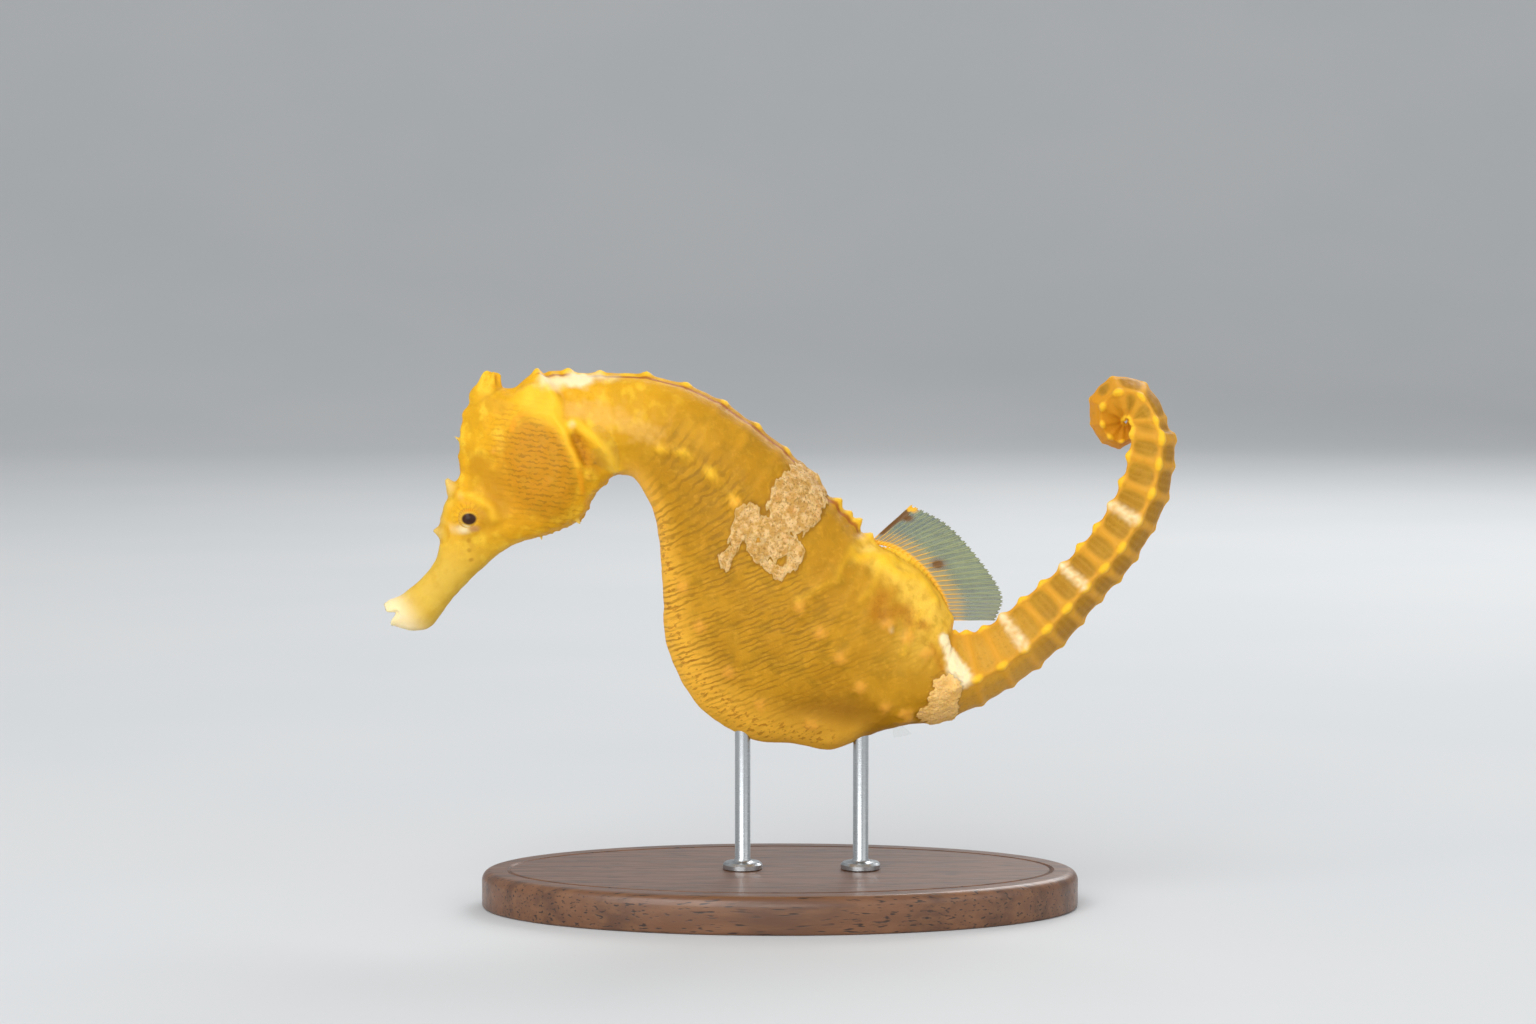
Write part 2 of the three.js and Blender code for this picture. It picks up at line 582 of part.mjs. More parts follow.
nodes.set("coronet", { solid: largest(coronetSolid().subtract(clear)), finish: "coronet" });
const finRoot = dorsalFinRoot();
nodes.set("dorsal_fin_root", { solid: largest(finRoot.subtract(clear)), finish: "fin_base" });
nodes.set("anal_fin", { solid: largest(analFin().subtract(clear)), finish: "fin" });
nodes.set("stand_base", { solid: standBase(), finish: "wood" });
nodes.set("stand_rod_front", { solid: largest(standRod(STAND.rod_x[0]).subtract(clear)), finish: "steel" });
nodes.set("stand_rod_rear", { solid: largest(standRod(STAND.rod_x[1]).subtract(clear)), finish: "steel" });
nodes.set("dorsal_fin", { solid: largest(dorsalFin().subtract(clear)), finish: "fin" });

const seahorse = new THREE.Group();
for (const [name, { solid: piece, finish }] of nodes) {
  const mesh = new THREE.Mesh(geometryOf(piece), new THREE.MeshStandardMaterial(FINISH[finish]));
  mesh.name = name;
  seahorse.add(mesh);
}

export default seahorse;
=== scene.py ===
"""The finished surfaces of a life-size big-bellied seahorse on its display stand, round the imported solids.

Lengths in the tables below are millimetres in the model's own frame: +Z up, the mouth towards -X, the tail
towards +X and the animal's left flank towards -Y. Everything is handed to Blender in metres.
"""

import math

import bpy
import numpy as np
from bpy.props import FloatProperty, FloatVectorProperty, PointerProperty
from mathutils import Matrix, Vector, noise


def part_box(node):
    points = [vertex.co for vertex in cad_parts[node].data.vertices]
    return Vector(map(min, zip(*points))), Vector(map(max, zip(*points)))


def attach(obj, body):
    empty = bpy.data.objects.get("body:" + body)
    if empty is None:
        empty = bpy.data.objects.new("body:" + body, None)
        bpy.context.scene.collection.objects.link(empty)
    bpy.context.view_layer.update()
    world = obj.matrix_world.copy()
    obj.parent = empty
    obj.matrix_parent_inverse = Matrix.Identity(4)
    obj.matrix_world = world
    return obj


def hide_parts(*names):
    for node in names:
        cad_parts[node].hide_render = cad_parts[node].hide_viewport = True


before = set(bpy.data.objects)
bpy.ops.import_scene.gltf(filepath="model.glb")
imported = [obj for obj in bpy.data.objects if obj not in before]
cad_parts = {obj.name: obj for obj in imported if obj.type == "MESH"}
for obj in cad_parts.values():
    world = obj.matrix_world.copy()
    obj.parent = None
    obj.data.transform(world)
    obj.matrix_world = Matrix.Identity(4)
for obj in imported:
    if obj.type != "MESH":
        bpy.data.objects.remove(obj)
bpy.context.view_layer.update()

bl_info = {
    "name": "Seahorse Model",
    "version": (1, 0, 0),
    "blender": (4, 5, 0),
    "location": "3D View > Sidebar > Seahorse",
    "description": "Builds the skin, eyes, fins and stand of a big-bellied seahorse",
    "category": "Object",
}

MM = 0.001
FAR = 1e6  # stands for a distance without end
OVAL_BLEND = 3  # how sharply overlapping ovals meet
BODY = "root"

# ---------------------------------------------------------------- the line of the body

# Cuts across the body from lips to tail: a name, the points on the back and on the belly as (x, z), half the
# breadth, egg (above 0 where it is broadest near the back) and square (1 where the cut is four-sided).
STATIONS = (
    ("lips", (-63.4, 48.9), (-62.2, 45.4), 1.4, 0, 0),
    ("snout_end", (-60.2, 50.7), (-56.5, 45.0), 2.4, 0, 0),
    ("snout_middle", (-55.9, 54.7), (-52.0, 50.4), 2.2, 0, 0),
    ("nose_root", (-54.5, 58.2), (-47.4, 54.9), 2.8, 0, 0),
    ("eyes", (-53.5, 63.5), (-42.6, 58.4), 3.9, -0.1, 0),
    ("brow", (-51.0, 70.0), (-35.9, 60.6), 4.5, -0.25, 0),
    ("cheek", (-50.7, 76.8), (-31.7, 62.8), 5.8, -0.3, 0),
    ("crown_front", (-49.0, 82.2), (-29.8, 66.2), 6.2, -0.3, 0),
    ("crown_back", (-44.6, 83.8), (-27.9, 68.3), 5.9, -0.2, 0),
    ("nape", (-38.8, 85.8), (-26.5, 69.5), 5.4, -0.1, 0),
    ("neck_front", (-30.4, 85.5), (-25.3, 69.8), 5.3, 0, 0),
    ("neck_back", (-21.4, 85.2), (-22.7, 68.5), 5.6, 0.1, 0),
    ("shoulder", (-11.8, 82.3), (-19.8, 62.1), 6.2, 0.2, 0),
    ("chest", (-2.5, 76.1), (-18.7, 51.2), 7.0, 0.28, 0),
    ("breast", (3.6, 70.6), (-17.8, 41.9), 7.6, 0.3, 0),
    ("belly_front", (9.1, 64.2), (-12.9, 32.6), 7.9, 0.3, 0),
    ("belly_mid", (14.2, 58.9), (-4.8, 27.4), 8.0, 0.28, 0),
    ("belly_deep", (18.1, 56.6), (2.4, 26.6), 7.7, 0.25, 0),
    ("belly_low", (21.9, 54.0), (8.3, 25.6), 7.2, 0.2, 0),
    ("belly_rear", (25.0, 50.6), (14.1, 27.8), 6.6, 0.12, 0),
    ("vent", (27.2, 46.6), (20.0, 29.3), 6.0, 0.05, 0.3),
    ("tail_ring_0", (27.8, 44.4), (27.6, 30.4), 5.4, 0, 0.8),
    ("tail_ring_2", (32.6, 45.0), (37.4, 35.6), 5.1, 0, 1),
    ("tail_ring_4", (38.8, 49.6), (45.3, 42.2), 4.8, 0, 1),
    ("tail_ring_6", (45.2, 55.1), (51.4, 49.5), 4.3, 0, 1),
    ("tail_ring_8", (50.6, 61.3), (57.1, 56.2), 4.0, 0, 1),
    ("tail_ring_10", (54.6, 68.6), (62.0, 65.8), 3.9, 0, 1),
    ("tail_ring_12", (56.2, 76.2), (63.2, 75.0), 3.6, 0, 1),
)

# The curl of the tail, a loop that slips behind itself. Each cut gives its angle round the curl's centre, the
# distance of its middle from there, its half depth and half breadth, and its slip to the far side.
CURL_CENTRE = (55.4, 78.1)
CURL = (
    (-8, 3.75, 3.1, 3.4, 0),
    (35, 3.4, 2.85, 3.3, 0.3),
    (75, 3.95, 3.05, 3.1, 1.3),
    (110, 3.9, 3.3, 2.9, 2.6),
    (145, 3.5, 3.05, 2.6, 3.8),
    (180, 2.9, 2.5, 2.3, 4.7),
    (218, 2.7, 2.3, 2.0, 5.1),
    (255, 2.65, 2.1, 1.7, 5.3),
    (290, 2.3, 1.6, 1.3, 5.4),
    (325, 1.8, 1.15, 1.0, 5.4),
    (360, 1.25, 0.7, 0.75, 5.4),
    (395, 0.85, 0.3, 0.3, 5.4),
)

TAIL_START = 21
TAIL_RINGS = 25
CURL_RING = 12
CURL_RING_POWER = 1.5
TAIL_ROLL = np.radians((-34, -38, -28, -22, -20))
# Places of the trunk's rings, counted in stations, from the nape to the tail.
TRUNK_RINGS = (9.0, 9.6, 10.2, 11.0, 11.6, 12.2, 12.75, 13.4, 14.2, 14.9, 15.5, 16.2, 17.05, 17.95, 19.1,
               20.0, 20.6)


def body_lines():
    """The back line, the belly line and (width, egg, square), one row to a station."""
    back = [(b[0], 0, b[1]) for _, b, _, _, _, _ in STATIONS]
    belly = [(v[0], 0, v[1]) for _, _, v, _, _, _ in STATIONS]
    shape = [(width, egg, square) for _, _, _, width, egg, square in STATIONS]
    for angle, radius, depth, width, shift in CURL:
        x, z = math.cos(math.radians(angle)), math.sin(math.radians(angle))
        back.append((CURL_CENTRE[0] + (radius - depth) * x, shift, CURL_CENTRE[1] + (radius - depth) * z))
        belly.append((CURL_CENTRE[0] + (radius + depth) * x, shift, CURL_CENTRE[1] + (radius + depth) * z))
        shape.append((width, 0, 1))
    return np.array(back, float), np.array(belly, float), np.array(shape, float)


BACK_LINE, BELLY_LINE, SHAPE_LINE = body_lines()
LAST = len(BACK_LINE) - 1


def through(points, place):
    """The smooth curve through points, at each place counted in points."""
    points = np.asarray(points, float)
    padded = np.vstack((2 * points[0] - points[1], points, 2 * points[-1] - points[-2]))
    place = np.clip(np.asarray(place, float), 0, len(points) - 1)
    whole = np.minimum(place.astype(int), len(points) - 2)
    part = (place - whole)[..., None]
    before, start, end, after = (padded[whole + i] for i in range(4))
    leave = (end - before) / 2
    arrive = (after - start) / 2
    cube = (2 * start - 2 * end + leave + arrive) * part**3
    square = (3 * end - 3 * start - 2 * leave - arrive) * part**2
    return cube + square + leave * part + start


def spread(ends, u):
    """The value between two ends, u of the way from the first."""
    return ends[0] + (ends[1] - ends[0]) * u


def bump(x):
    return np.exp(-np.square(x))


def step_up(x, low, high):
    """0 below low, 1 above high, and smooth between them."""
    share = np.clip((x - low) / (high - low), 0, 1)
    return share * share * (3 - 2 * share)


def ring_count(place):
    """How many rings of the tail lie before each place; below 0 on the trunk."""
    place = np.asarray(place, float)
    share = np.clip((place - TAIL_START - CURL_RING / 2) / (LAST - TAIL_START - CURL_RING / 2), 0, 1)
    curled = CURL_RING + (TAIL_RINGS - CURL_RING) * (1 - (1 - share) ** (1 / CURL_RING_POWER))
    return np.where(place <= TAIL_START + CURL_RING / 2, (place - TAIL_START) * 2, curled)


def roll_at(ring):
    along = np.clip(ring / TAIL_RINGS, 0, 1) * (len(TAIL_ROLL) - 1)
    return np.interp(along, range(len(TAIL_ROLL)), TAIL_ROLL)


# ---------------------------------------------------------------- places on the left flank, as (x, z)

EYE = (-49.4, 3.05, 62.95)
EYE_RADIUS = 1.9
GILL_CENTRE = (-37.9, 71.2)
GILL_HALF = (5.7, 8.0)
GILL_LEAN = math.radians(14)
GILL_RIM = ((-42.5, 77.1), (-41.5, 79.0), (-39.6, 79.8), (-36.4, 79.2), (-34.0, 76.5), (-32.3, 71.7),
            (-31.3, 67.2))
HEAD_EDGE = ((-39.1, 86.2), (-36.8, 83.7), (-35.8, 81.8), (-35.5, 79.2), (-34.0, 75.6), (-32.2, 71.7))
SHOULDER_BONE = ((-33.4, 77.4), (-32.3, 78.1), (-30.2, 76.4), (-28.3, 74.6), (-27.0, 72.6), (-26.2, 70.8))
FIN_PIT = ((-31.7, 75.8), (-30.6, 72.9), (-29.2, 71.0))
NAPE_PALE = ((-37.2, 85.0), (-34.8, 84.7), (-31.8, 84.9))
NECK_PALE = ((-31.8, 84.9), (-26.5, 85.2))
NECK_CREASE = tuple((x + 1.4, z + 0.2) for x, z in HEAD_EDGE)
CROWN = ((-40.5, 82.5), (-38.5, 80.8), (-36.8, 80.0))
BROW_RIDGE = ((-52.6, 67.6), (-50.6, 66.6), (-48.2, 66.2), (-46.2, 65.0), (-45.4, 63.0))
CHEEK_SHADE = ((-48.3, 71.6), (-46.4, 70.0), (-45.0, 67.8), (-44.9, 65.2), (-46.4, 63.4))
FRECKLES = ((-49.5, 59.3), (-49.5, 57.9), (-49.3, 56.4), (-52.2, 50.2))
HEAD_SPOTS = ((-45.6, 73.7), (-30.6, 69.6), (-33.0, 77.8))
FOREHEAD_KNOBS = ((-50.6, 75.4), (-51.0, 72.6), (-50.0, 79.2))
LATERAL_SPOTS = ((-19.0, 74.0), (-15.4, 73.4), (-10.9, 70.4), (-7.0, 65.7), (-3.5, 60.1), (0.1, 54.6),
                 (3.0, 49.2), (6.6, 45.1), (9.5, 40.9), (12.5, 36.1), (16.9, 32.9), (20.5, 30.8))
LOWER_SPOTS = ((-15.6, 52.2), (-12.6, 45.7), (-8.3, 38.2), (-2.9, 33.2), (4.9, 29.8), (20.0, 31.6))
UPPER_SPOTS = ((16.9, 46.4), (20.3, 44.1), (23.2, 41.4))
UNDER_FIN_SPOT = ((17.4, 45.3),)
FIN_RIDGE = ((12.2, 56.7), (15.6, 56.6), (18.6, 53.9), (22.4, 53.0), (24.7, 49.8))
FIN_STRUT = ((18.6, 53.9), (17.9, 51.7), (17.3, 49.4), (17.3, 46.1))
# The rough growth on the flank: overlapping ovals as (x, z, half length, half height).
GROWTH = ((2.4, 65.6, 4.4, 5.0), (3.6, 69.2, 3.0, 2.6), (5.4, 66.4, 2.0, 3.4), (-5.2, 63.4, 2.3, 2.4),
          (-2.0, 61.8, 3.0, 2.0), (-6.6, 61.4, 1.4, 1.8), (-1.2, 58.6, 2.6, 1.8))
ROOT_GROWTH = ((26.4, 36.4, 2.2, 2.0), (25.6, 33.2, 2.2, 2.4), (27.2, 33.6, 1.5, 2.6), (25.6, 30.6, 2.2, 1.4),
               (23.4, 31.4, 1.9, 1.2))
ROOT_BAND = ((26.1, 43.6), (27.1, 41.1), (28.2, 39.1), (28.9, 37.6))
ROOT_BAND_SHADE = ((23.9, 43.4), (24.9, 41.0), (25.8, 38.9))
# The strands that hang from the growth, and how far each reaches to the sides.
GROWTH_STRANDS = (((-6.2, 60.6), (-7.6, 58.6), (-9.2, 57.1), (-8.2, 55.9)),
                  ((-4.6, 59.6), (-3.4, 57.8), (-1.8, 55.6), (0.1, 54.5)),
                  ((0.4, 60.2), (2.4, 58.6), (2.9, 56.8), (1.2, 55.4)),
                  ((-3.2, 58.4), (-0.8, 58.0), (1.6, 58.6)))
STRAND = 1.0
# Hollows of the head's outline: x, z, breadth and depth, below 0 for a swelling.
HEAD_DIPS = ((-42.6, 84.2, 1.7, 0.95), (-40.9, 84.8, 1.2, 0.3), (-49.6, 81.6, 1.1, 0.45),
             (-53.2, 65.3, 2.5, -0.6), (-54.0, 62.4, 1.8, -0.45))
# The foot of the fleshy ridge that carries the dorsal fin.
MOUND_FOOT = ((15.0, 59.1), (18.3, 56.0), (21.4, 54.5), (24.4, 51.8), (26.6, 48.7), (27.3, 46.3))
MOUTH = (-62.0, 47.3)
MOUTH_SLOPE = math.radians(32)
MOUTH_DEPTH = 1.4
# Marks round the eye: centre, half length and half height.
EYE_CRESCENT = (-50.1, 61.15, 1.35, 0.8)
EYE_BLUSH = (-48.5, 61.4, 1.0, 0.65)
EYE_ARC = (-49.8, 65.3, 1.2, 0.45)
BROW_PALE = ((-53.3, 68.6), (-51.9, 67.2), (-50.4, 66.2))
FACE_PALE = ((-53.3, 67.0), (-53.4, 64.6), (-54.0, 62.4), (-54.3, 60.4))
NOSE_PALE = (-52.9, 61.2, 2.6, 1.5)
CHEEK = (-40.5, 68.6, 7.5, 9.0)
BELLY_SHADE = (8.5, 30.5, 10, 4.6)
NECK_FLUSH = ((-33.0, 80.2), (-29.6, 79.6), (-24.8, 78.2), (-20.6, 76.4))
LOIN_GLOW = (21.5, 43.5, 6.0, 6.5)
SADDLE_GLOW = ((14.2, 57.0), (19.6, 53.0), (24.2, 47.6))
# Soft pale ridges that run down the flank from the root of the dorsal fin, and faint ones on the neck.
STREAKS = (((17.7, 56.3), (16.1, 55.9), (14.7, 52.6), (12.7, 50.0)),
           ((13.2, 59.3), (11.4, 58.6), (9.6, 55.2)),
           ((9.2, 54.1), (6.0, 52.1), (2.7, 50.3)), ((22.6, 48.0), (20.8, 45.0), (19.4, 41.6)))
NECK_STREAKS = (((-8.5, 76.6), (-10.6, 74.0), (-11.4, 70.6)), ((-2.5, 73.5), (-5.0, 70.2), (-7.2, 66.0)))
SADDLE_SHADE = ((15.9, 50.7), (15.2, 48.0), (20.2, 48.6), (20.4, 46.4), (22.8, 46.2))
BACK_TEETH = ((8.2, 64.6), (10.2, 62.6), (11.6, 61.2), (13.7, 59.2))
BACK_KNOBS = (9.00, 9.61, 10.19, 11.01, 11.67, 12.28, 12.84, 13.52, 14.29, 14.98, 15.51)

# The dorsal fin: its rays spring from the raised root and spread to the free edge.
DORSAL_RAYS = 27
DORSAL_ROOT = ((14.8, 59.2), (18.5, 58.3), (22.9, 55.0), (25.9, 50.6), (27.0, 46.9))
DORSAL_EDGE = ((21.0, 64.9), (26.8, 61.7), (32.0, 56.1), (35.6, 50.4), (34.6, 46.2))


# ---------------------------------------------------------------- user's settings


def linear(code):
    """A colour written #RRGGBB as light values."""
    made = []
    for start in (1, 3, 5):
        value = int(code[start:start + 2], 16) / 255
        made.append(value / 12.92 if value <= 0.04045 else ((value + 0.055) / 1.055) ** 2.4)
    return tuple(made)


def colour(name, description, code):
    return FloatVectorProperty(name=name, description=description, subtype="COLOR", size=3, min=0, max=1,
                               default=linear(code))


def length(name, description, size, least):
    """A length in millimetres."""
    return FloatProperty(name=name, description=description, default=size * MM, min=least * MM, unit="LENGTH")


class SeahorseSkinSettings(bpy.types.PropertyGroup):
    """Sizes and colours of the skin."""

    relief: FloatProperty(name="Relief", description="How strongly knobs, rings and ridges stand out",
                          default=1, min=0, max=2, subtype="FACTOR")
    ring_knob: length("Ring Knob", "Height of the knobs where rings cross the tail's ridges", 0.4, 0)
    line_gap: length("Line Spacing", "Distance between the dark lines of the flank", 0.82, 0.2)
    mustard: colour("Mustard", "Ground colour of the trunk", "#B27E10")
    yellow: colour("Yellow", "Ground colour of the head", "#DFA516")
    bright: colour("Bright Yellow", "Crown, knobs and ridges", "#F5C02C")
    olive: colour("Olive", "Fine lines of the flank and the gill cover", "#8A6110")
    umber: colour("Umber", "Cells between the rings of the tail", "#A87818")
    cream: colour("Cream", "Lips, nape and pale bands", "#F4E2B4")


class SeahorseEyeSettings(bpy.types.PropertyGroup):
    """Sizes and colours of the eyes."""

    pupil: length("Pupil", "Radius of the pupil", 0.95, 0.1)
    iris: colour("Iris", "Gold of the iris", "#D9A228")
    dark: colour("Pupil Colour", "The dark of the pupil", "#3A2012")


class SeahorseFinSettings(bpy.types.PropertyGroup):
    """Sizes and colours of the fins."""

    ray: length("Ray", "Thickness of a fin ray at its root", 0.42, 0.1)
    membrane: length("Membrane", "Thickness of the skin between rays", 0.14, 0.05)
    film: colour("Membrane Colour", "Clear skin between the rays", "#606B4C")
    rays: colour("Ray Colour", "The fin rays", "#A6A877")


class SeahorseStandSettings(bpy.types.PropertyGroup):
    """Sizes and colours of the stand."""

    edge: length("Edge", "Radius of the base's rounded edge", 1.6, 0.1)
    walnut: colour("Walnut", "Ground colour of the wood", "#6A442A")
    grain: colour("Grain", "Dark lines of the wood", "#2F1B10")


class SeahorseStageSettings(bpy.types.PropertyGroup):
    """The studio round the model."""

    floor: FloatProperty(name="Floor", description="Width of the floor", default=4, min=1, unit="LENGTH")
    key: FloatProperty(name="Key Light", description="Power of the main light", default=5.9, min=0,
                       unit="POWER")
    paper: colour("Paper", "Colour of the floor and backdrop", "#CDCFD1")


GROUPS = {
    "seahorse_skin": SeahorseSkinSettings,
    "seahorse_eye": SeahorseEyeSettings,
    "seahorse_fin": SeahorseFinSettings,
    "seahorse_stand": SeahorseStandSettings,
    "seahorse_stage": SeahorseStageSettings,
}

# ---------------------------------------------------------------- meshes


def deselect():
    if bpy.context.object and bpy.context.object.mode != "OBJECT":
        bpy.ops.object.mode_set(mode="OBJECT")
    bpy.ops.object.select_all(action="DESELECT")


def activate(piece):
    deselect()
    piece.select_set(True)
    bpy.context.view_layer.objects.active = piece


def named(name):
    """The object that was made last, under a name."""
    piece = bpy.context.object
    piece.name = name
    return piece


def points_of(piece):
    """The vertices of a piece, in millimetres."""
    flat = np.empty(len(piece.data.vertices) * 3, np.float32)
    piece.data.vertices.foreach_get("co", flat)
    return flat.reshape(-1, 3).astype(float) / MM


def move_points(piece, points):
    """Sets the vertices of a piece from millimetres."""
    piece.data.vertices.foreach_set("co", (points * MM).astype(np.float32).ravel())
    piece.data.update()


def store(piece, name, values):
    """Keeps a number or a vector for each vertex, for the materials to read."""
    values = np.asarray(values, np.float32)
    if values.ndim > 1:
        piece.data.attributes.new(name, "FLOAT_VECTOR", "POINT").data.foreach_set("vector", values.ravel())
    else:
        piece.data.attributes.new(name, "FLOAT", "POINT").data.foreach_set("value", values)


def stored(piece, name):
    values = np.empty(len(piece.data.vertices), np.float32)
    piece.data.attributes[name].data.foreach_get("value", values)
    return values


def face_out(piece):
    activate(piece)
    bpy.ops.object.mode_set(mode="EDIT")
    bpy.ops.mesh.select_all(action="SELECT")
    bpy.ops.mesh.normals_make_consistent(inside=False)
    bpy.ops.object.mode_set(mode="OBJECT")


def smooth(piece):
    activate(piece)
    bpy.ops.object.shade_smooth()


def wrapped(name, rows, sides, place):
    """A closed sphere, its vertices moved to place(row, side) in millimetres; rows run from pole to pole."""
    deselect()
    bpy.ops.mesh.primitive_uv_sphere_add(segments=sides, ring_count=rows, radius=1)
    piece = named(name)
    unit = points_of(piece) * MM
    row = np.rint(np.arctan2(np.hypot(unit[:, 0], unit[:, 1]), unit[:, 2]) / math.pi * rows).astype(int)
    side = np.rint(np.arctan2(unit[:, 1], unit[:, 0]) / (2 * math.pi) * sides).astype(int) % sides
    move_points(piece, place(row, side))
    face_out(piece)
    smooth(piece)
    return piece, row, side


def apply_modifier(piece, kind, **settings):
    """Adds a modifier to a piece and applies it."""
    activate(piece)
    bpy.ops.object.modifier_add(type=kind)
    modifier = piece.modifiers[-1]
    for key, value in settings.items():
        setattr(modifier, key, value)
    bpy.ops.object.modifier_apply(modifier=modifier.name)


def finish_piece(piece, material, slot, *nodes):
    piece.data.materials.clear()
    piece.data.materials.append(material)
    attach(piece, BODY)
    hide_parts(*nodes)
    return piece


# ---------------------------------------------------------------- the skin as a grid


class Skin:
    """The bare surface of the body: rows along it and columns round it, in millimetres."""

    SIDES = 144
    ROWS = 628
    CAP = 9  # rows that close each end
    LIP, TIP = 0.9, 0.35  # how far the lips and the tail's tip bulge
    BOXY = 0.62  # power that squares the tail's cuts
    ROLLED = 0.14  # what a square cut turned on its corner would gain in height

    def __init__(self):
        self.turn = np.linspace(0, 2 * np.pi, self.SIDES, endpoint=False)[None, :]
        inner = self.row_places(self.ROWS + 1 - 2 * self.CAP)
        self.place = np.concatenate((np.zeros(self.CAP), inner, np.full(self.CAP, LAST)))[:, None]
        closing = np.sin(np.linspace(0, np.pi / 2, self.CAP, endpoint=False))
        self.shrink = np.concatenate((closing, np.ones(len(inner)), closing[::-1]))[:, None]
        self.ring = ring_count(self.place)
        self.points = self.bare()
        self.normal = self.normals()
        self.speed = self.lengths_per_station()
        self.to_back, self.to_belly = self.girth()
        self.x, self.z = self.points[..., 0], self.points[..., 2]
        self.beside = np.abs(self.points[..., 1] - self.middle[..., 1])
        self.fraction = (1 - np.cos(self.turn)) / 2 + 0 * self.place  # of the way from the back to the belly

    def row_places(self, count):
        """Places of the rows, counted in stations, closest together on the head and the tail."""
        fine = np.linspace(0, LAST, 4000)
        back = np.linalg.norm(np.diff(through(BACK_LINE, fine), axis=0), axis=1)
        belly = np.linalg.norm(np.diff(through(BELLY_LINE, fine), axis=0), axis=1)
        closeness = np.interp(fine[:-1], (0, 9, 12, 19, 22, LAST), (1.35, 1.25, 0.8, 0.8, 1.15, 1.25))
        run = np.concatenate(((0,), np.cumsum(np.maximum(back, belly) * closeness)))
        return np.interp(np.linspace(0, run[-1], count), run, fine)

    def bare(self):
        back = through(BACK_LINE, self.place[:, 0])
        belly = through(BELLY_LINE, self.place[:, 0])
        width, egg, square = (v[:, None] for v in through(SHAPE_LINE, self.place[:, 0]).T)
        square = np.clip(square, 0, 1)
        self.middle = ((back + belly) / 2)[:, None, :]
        up = (back - belly) / 2
        depth = np.linalg.norm(up, axis=1)[:, None]
        up = (up / depth)[:, None, :]
        self.depth, self.width, self.square = depth, width, square
        self.roll = roll_at(self.ring)
        turn = self.turn + self.roll * square  # keeps a column of corners on each ridge of the tail
        self.turn = turn
        round_up = np.cos(turn)
        round_side = np.sin(turn) * (1 + egg * np.cos(turn)) / (1 + egg * egg / 2)
        lean = turn - self.roll
        corner_up = np.sign(np.cos(lean)) * np.abs(np.cos(lean)) ** self.BOXY
        corner_side = np.sign(np.sin(lean)) * np.abs(np.sin(lean)) ** self.BOXY
        reach = 1 + self.ROLLED * np.abs(np.sin(2 * self.roll))
        box_up = (corner_up * np.cos(self.roll) - corner_side * np.sin(self.roll)) / reach
        box_side = (corner_up * np.sin(self.roll) + corner_side * np.cos(self.roll)) / reach
        shape_up = (round_up + (box_up - round_up) * square) * self.shrink
        shape_side = (round_side + (box_side - round_side) * square) * self.shrink
        across = shape_up * depth
        points = self.middle + up * across[..., None]
        points[..., 1] -= shape_side * width
        ahead = np.cross(up, (0, 1, 0))
        out = np.sqrt(1 - np.square(self.shrink)) * np.where(self.place < 1, -self.LIP, self.TIP)
        return points + ahead * -out[..., None] * np.sign(ahead[:1, :1, 0] + 1e-9)

    def normals(self):
        along = np.gradient(self.points, axis=0)
        around = np.roll(self.points, -1, axis=1) - np.roll(self.points, 1, axis=1)
        normal = np.cross(around, along)
        normal = normal / np.maximum(np.linalg.norm(normal, axis=2, keepdims=True), 1e-9)
        halfway = self.ROWS // 2
        normal *= np.sign(np.sum(normal[halfway] * (self.points - self.middle)[halfway]))
        normal[0] = normal[1].mean(axis=0)
        normal[-1] = normal[-2].mean(axis=0)
        return normal

    def lengths_per_station(self):
        """Millimetres of skin to a station along the body."""
        run = np.linalg.norm(np.gradient(self.points, axis=0), axis=2)
        stations = np.maximum(np.gradient(self.place[:, 0]), 1e-6)[:, None]
        return np.where(self.shrink < 1, 0, run / stations)

    def girth(self):
        """Millimetres round the body from the middle of the back, and from the middle of the belly."""
        step = np.linalg.norm(np.roll(self.points, -1, axis=1) - self.points, axis=2)
        run = np.concatenate((np.zeros((len(step), 1)), np.cumsum(step, axis=1)[:, :-1]), axis=1)
        to_back = np.minimum(run, step.sum(axis=1, keepdims=True) - run)
        return to_back, to_back.max(axis=1, keepdims=True) - to_back

    def on_flank(self, x, z):
        """The point of the left flank seen at x and z."""
        far = np.where(self.points[..., 1] < self.middle[..., 1], 0, FAR)
        row, side = np.unravel_index(np.argmin(np.hypot(self.x - x, self.z - z) + far), self.x.shape)
        return np.array((self.x[row, side], self.beside[row, side], self.z[row, side]))

    def from_spot(self, spot):
        """Distance of the whole skin from a place on the flank, the same on both sides."""
        x, beside, z = self.on_flank(*spot)
        return np.sqrt((self.x - x) ** 2 + (self.beside - beside) ** 2 + (self.z - z) ** 2)

    def from_line(self, line, steps=8):
        """Distance of the skin from a smooth line drawn on the flank."""
        places = np.arange((len(line) - 1) * steps + 1) / steps
        nearest = np.full(self.x.shape, FAR)
        for x, beside, z in through([self.on_flank(*spot) for spot in line], places):
            squared = (self.x - x) ** 2 + (self.beside - beside) ** 2 + (self.z - z) ** 2
            nearest = np.minimum(nearest, squared)
        return np.sqrt(nearest)

    def along(self, line, width):
        """A soft mark along a line on the flank, 1 on the line itself."""
        return bump(self.from_line(line) / width)

    def drawn(self, lines):
        """Several lines as one mark: each gives its strength, its breadth and maybe how that wavers."""
        made = 0
        for line, strength, width, *waver in lines:
            if waver:
                amount, size, seed = waver
                width = width + amount * self.rough(size, seed)
            made = made + strength * self.along(line, width)
        return made

    def dotted(self, spots, width):
        """Soft round marks, 1 at their centres."""
        return sum(bump(self.from_spot(spot) / width) for spot in spots)

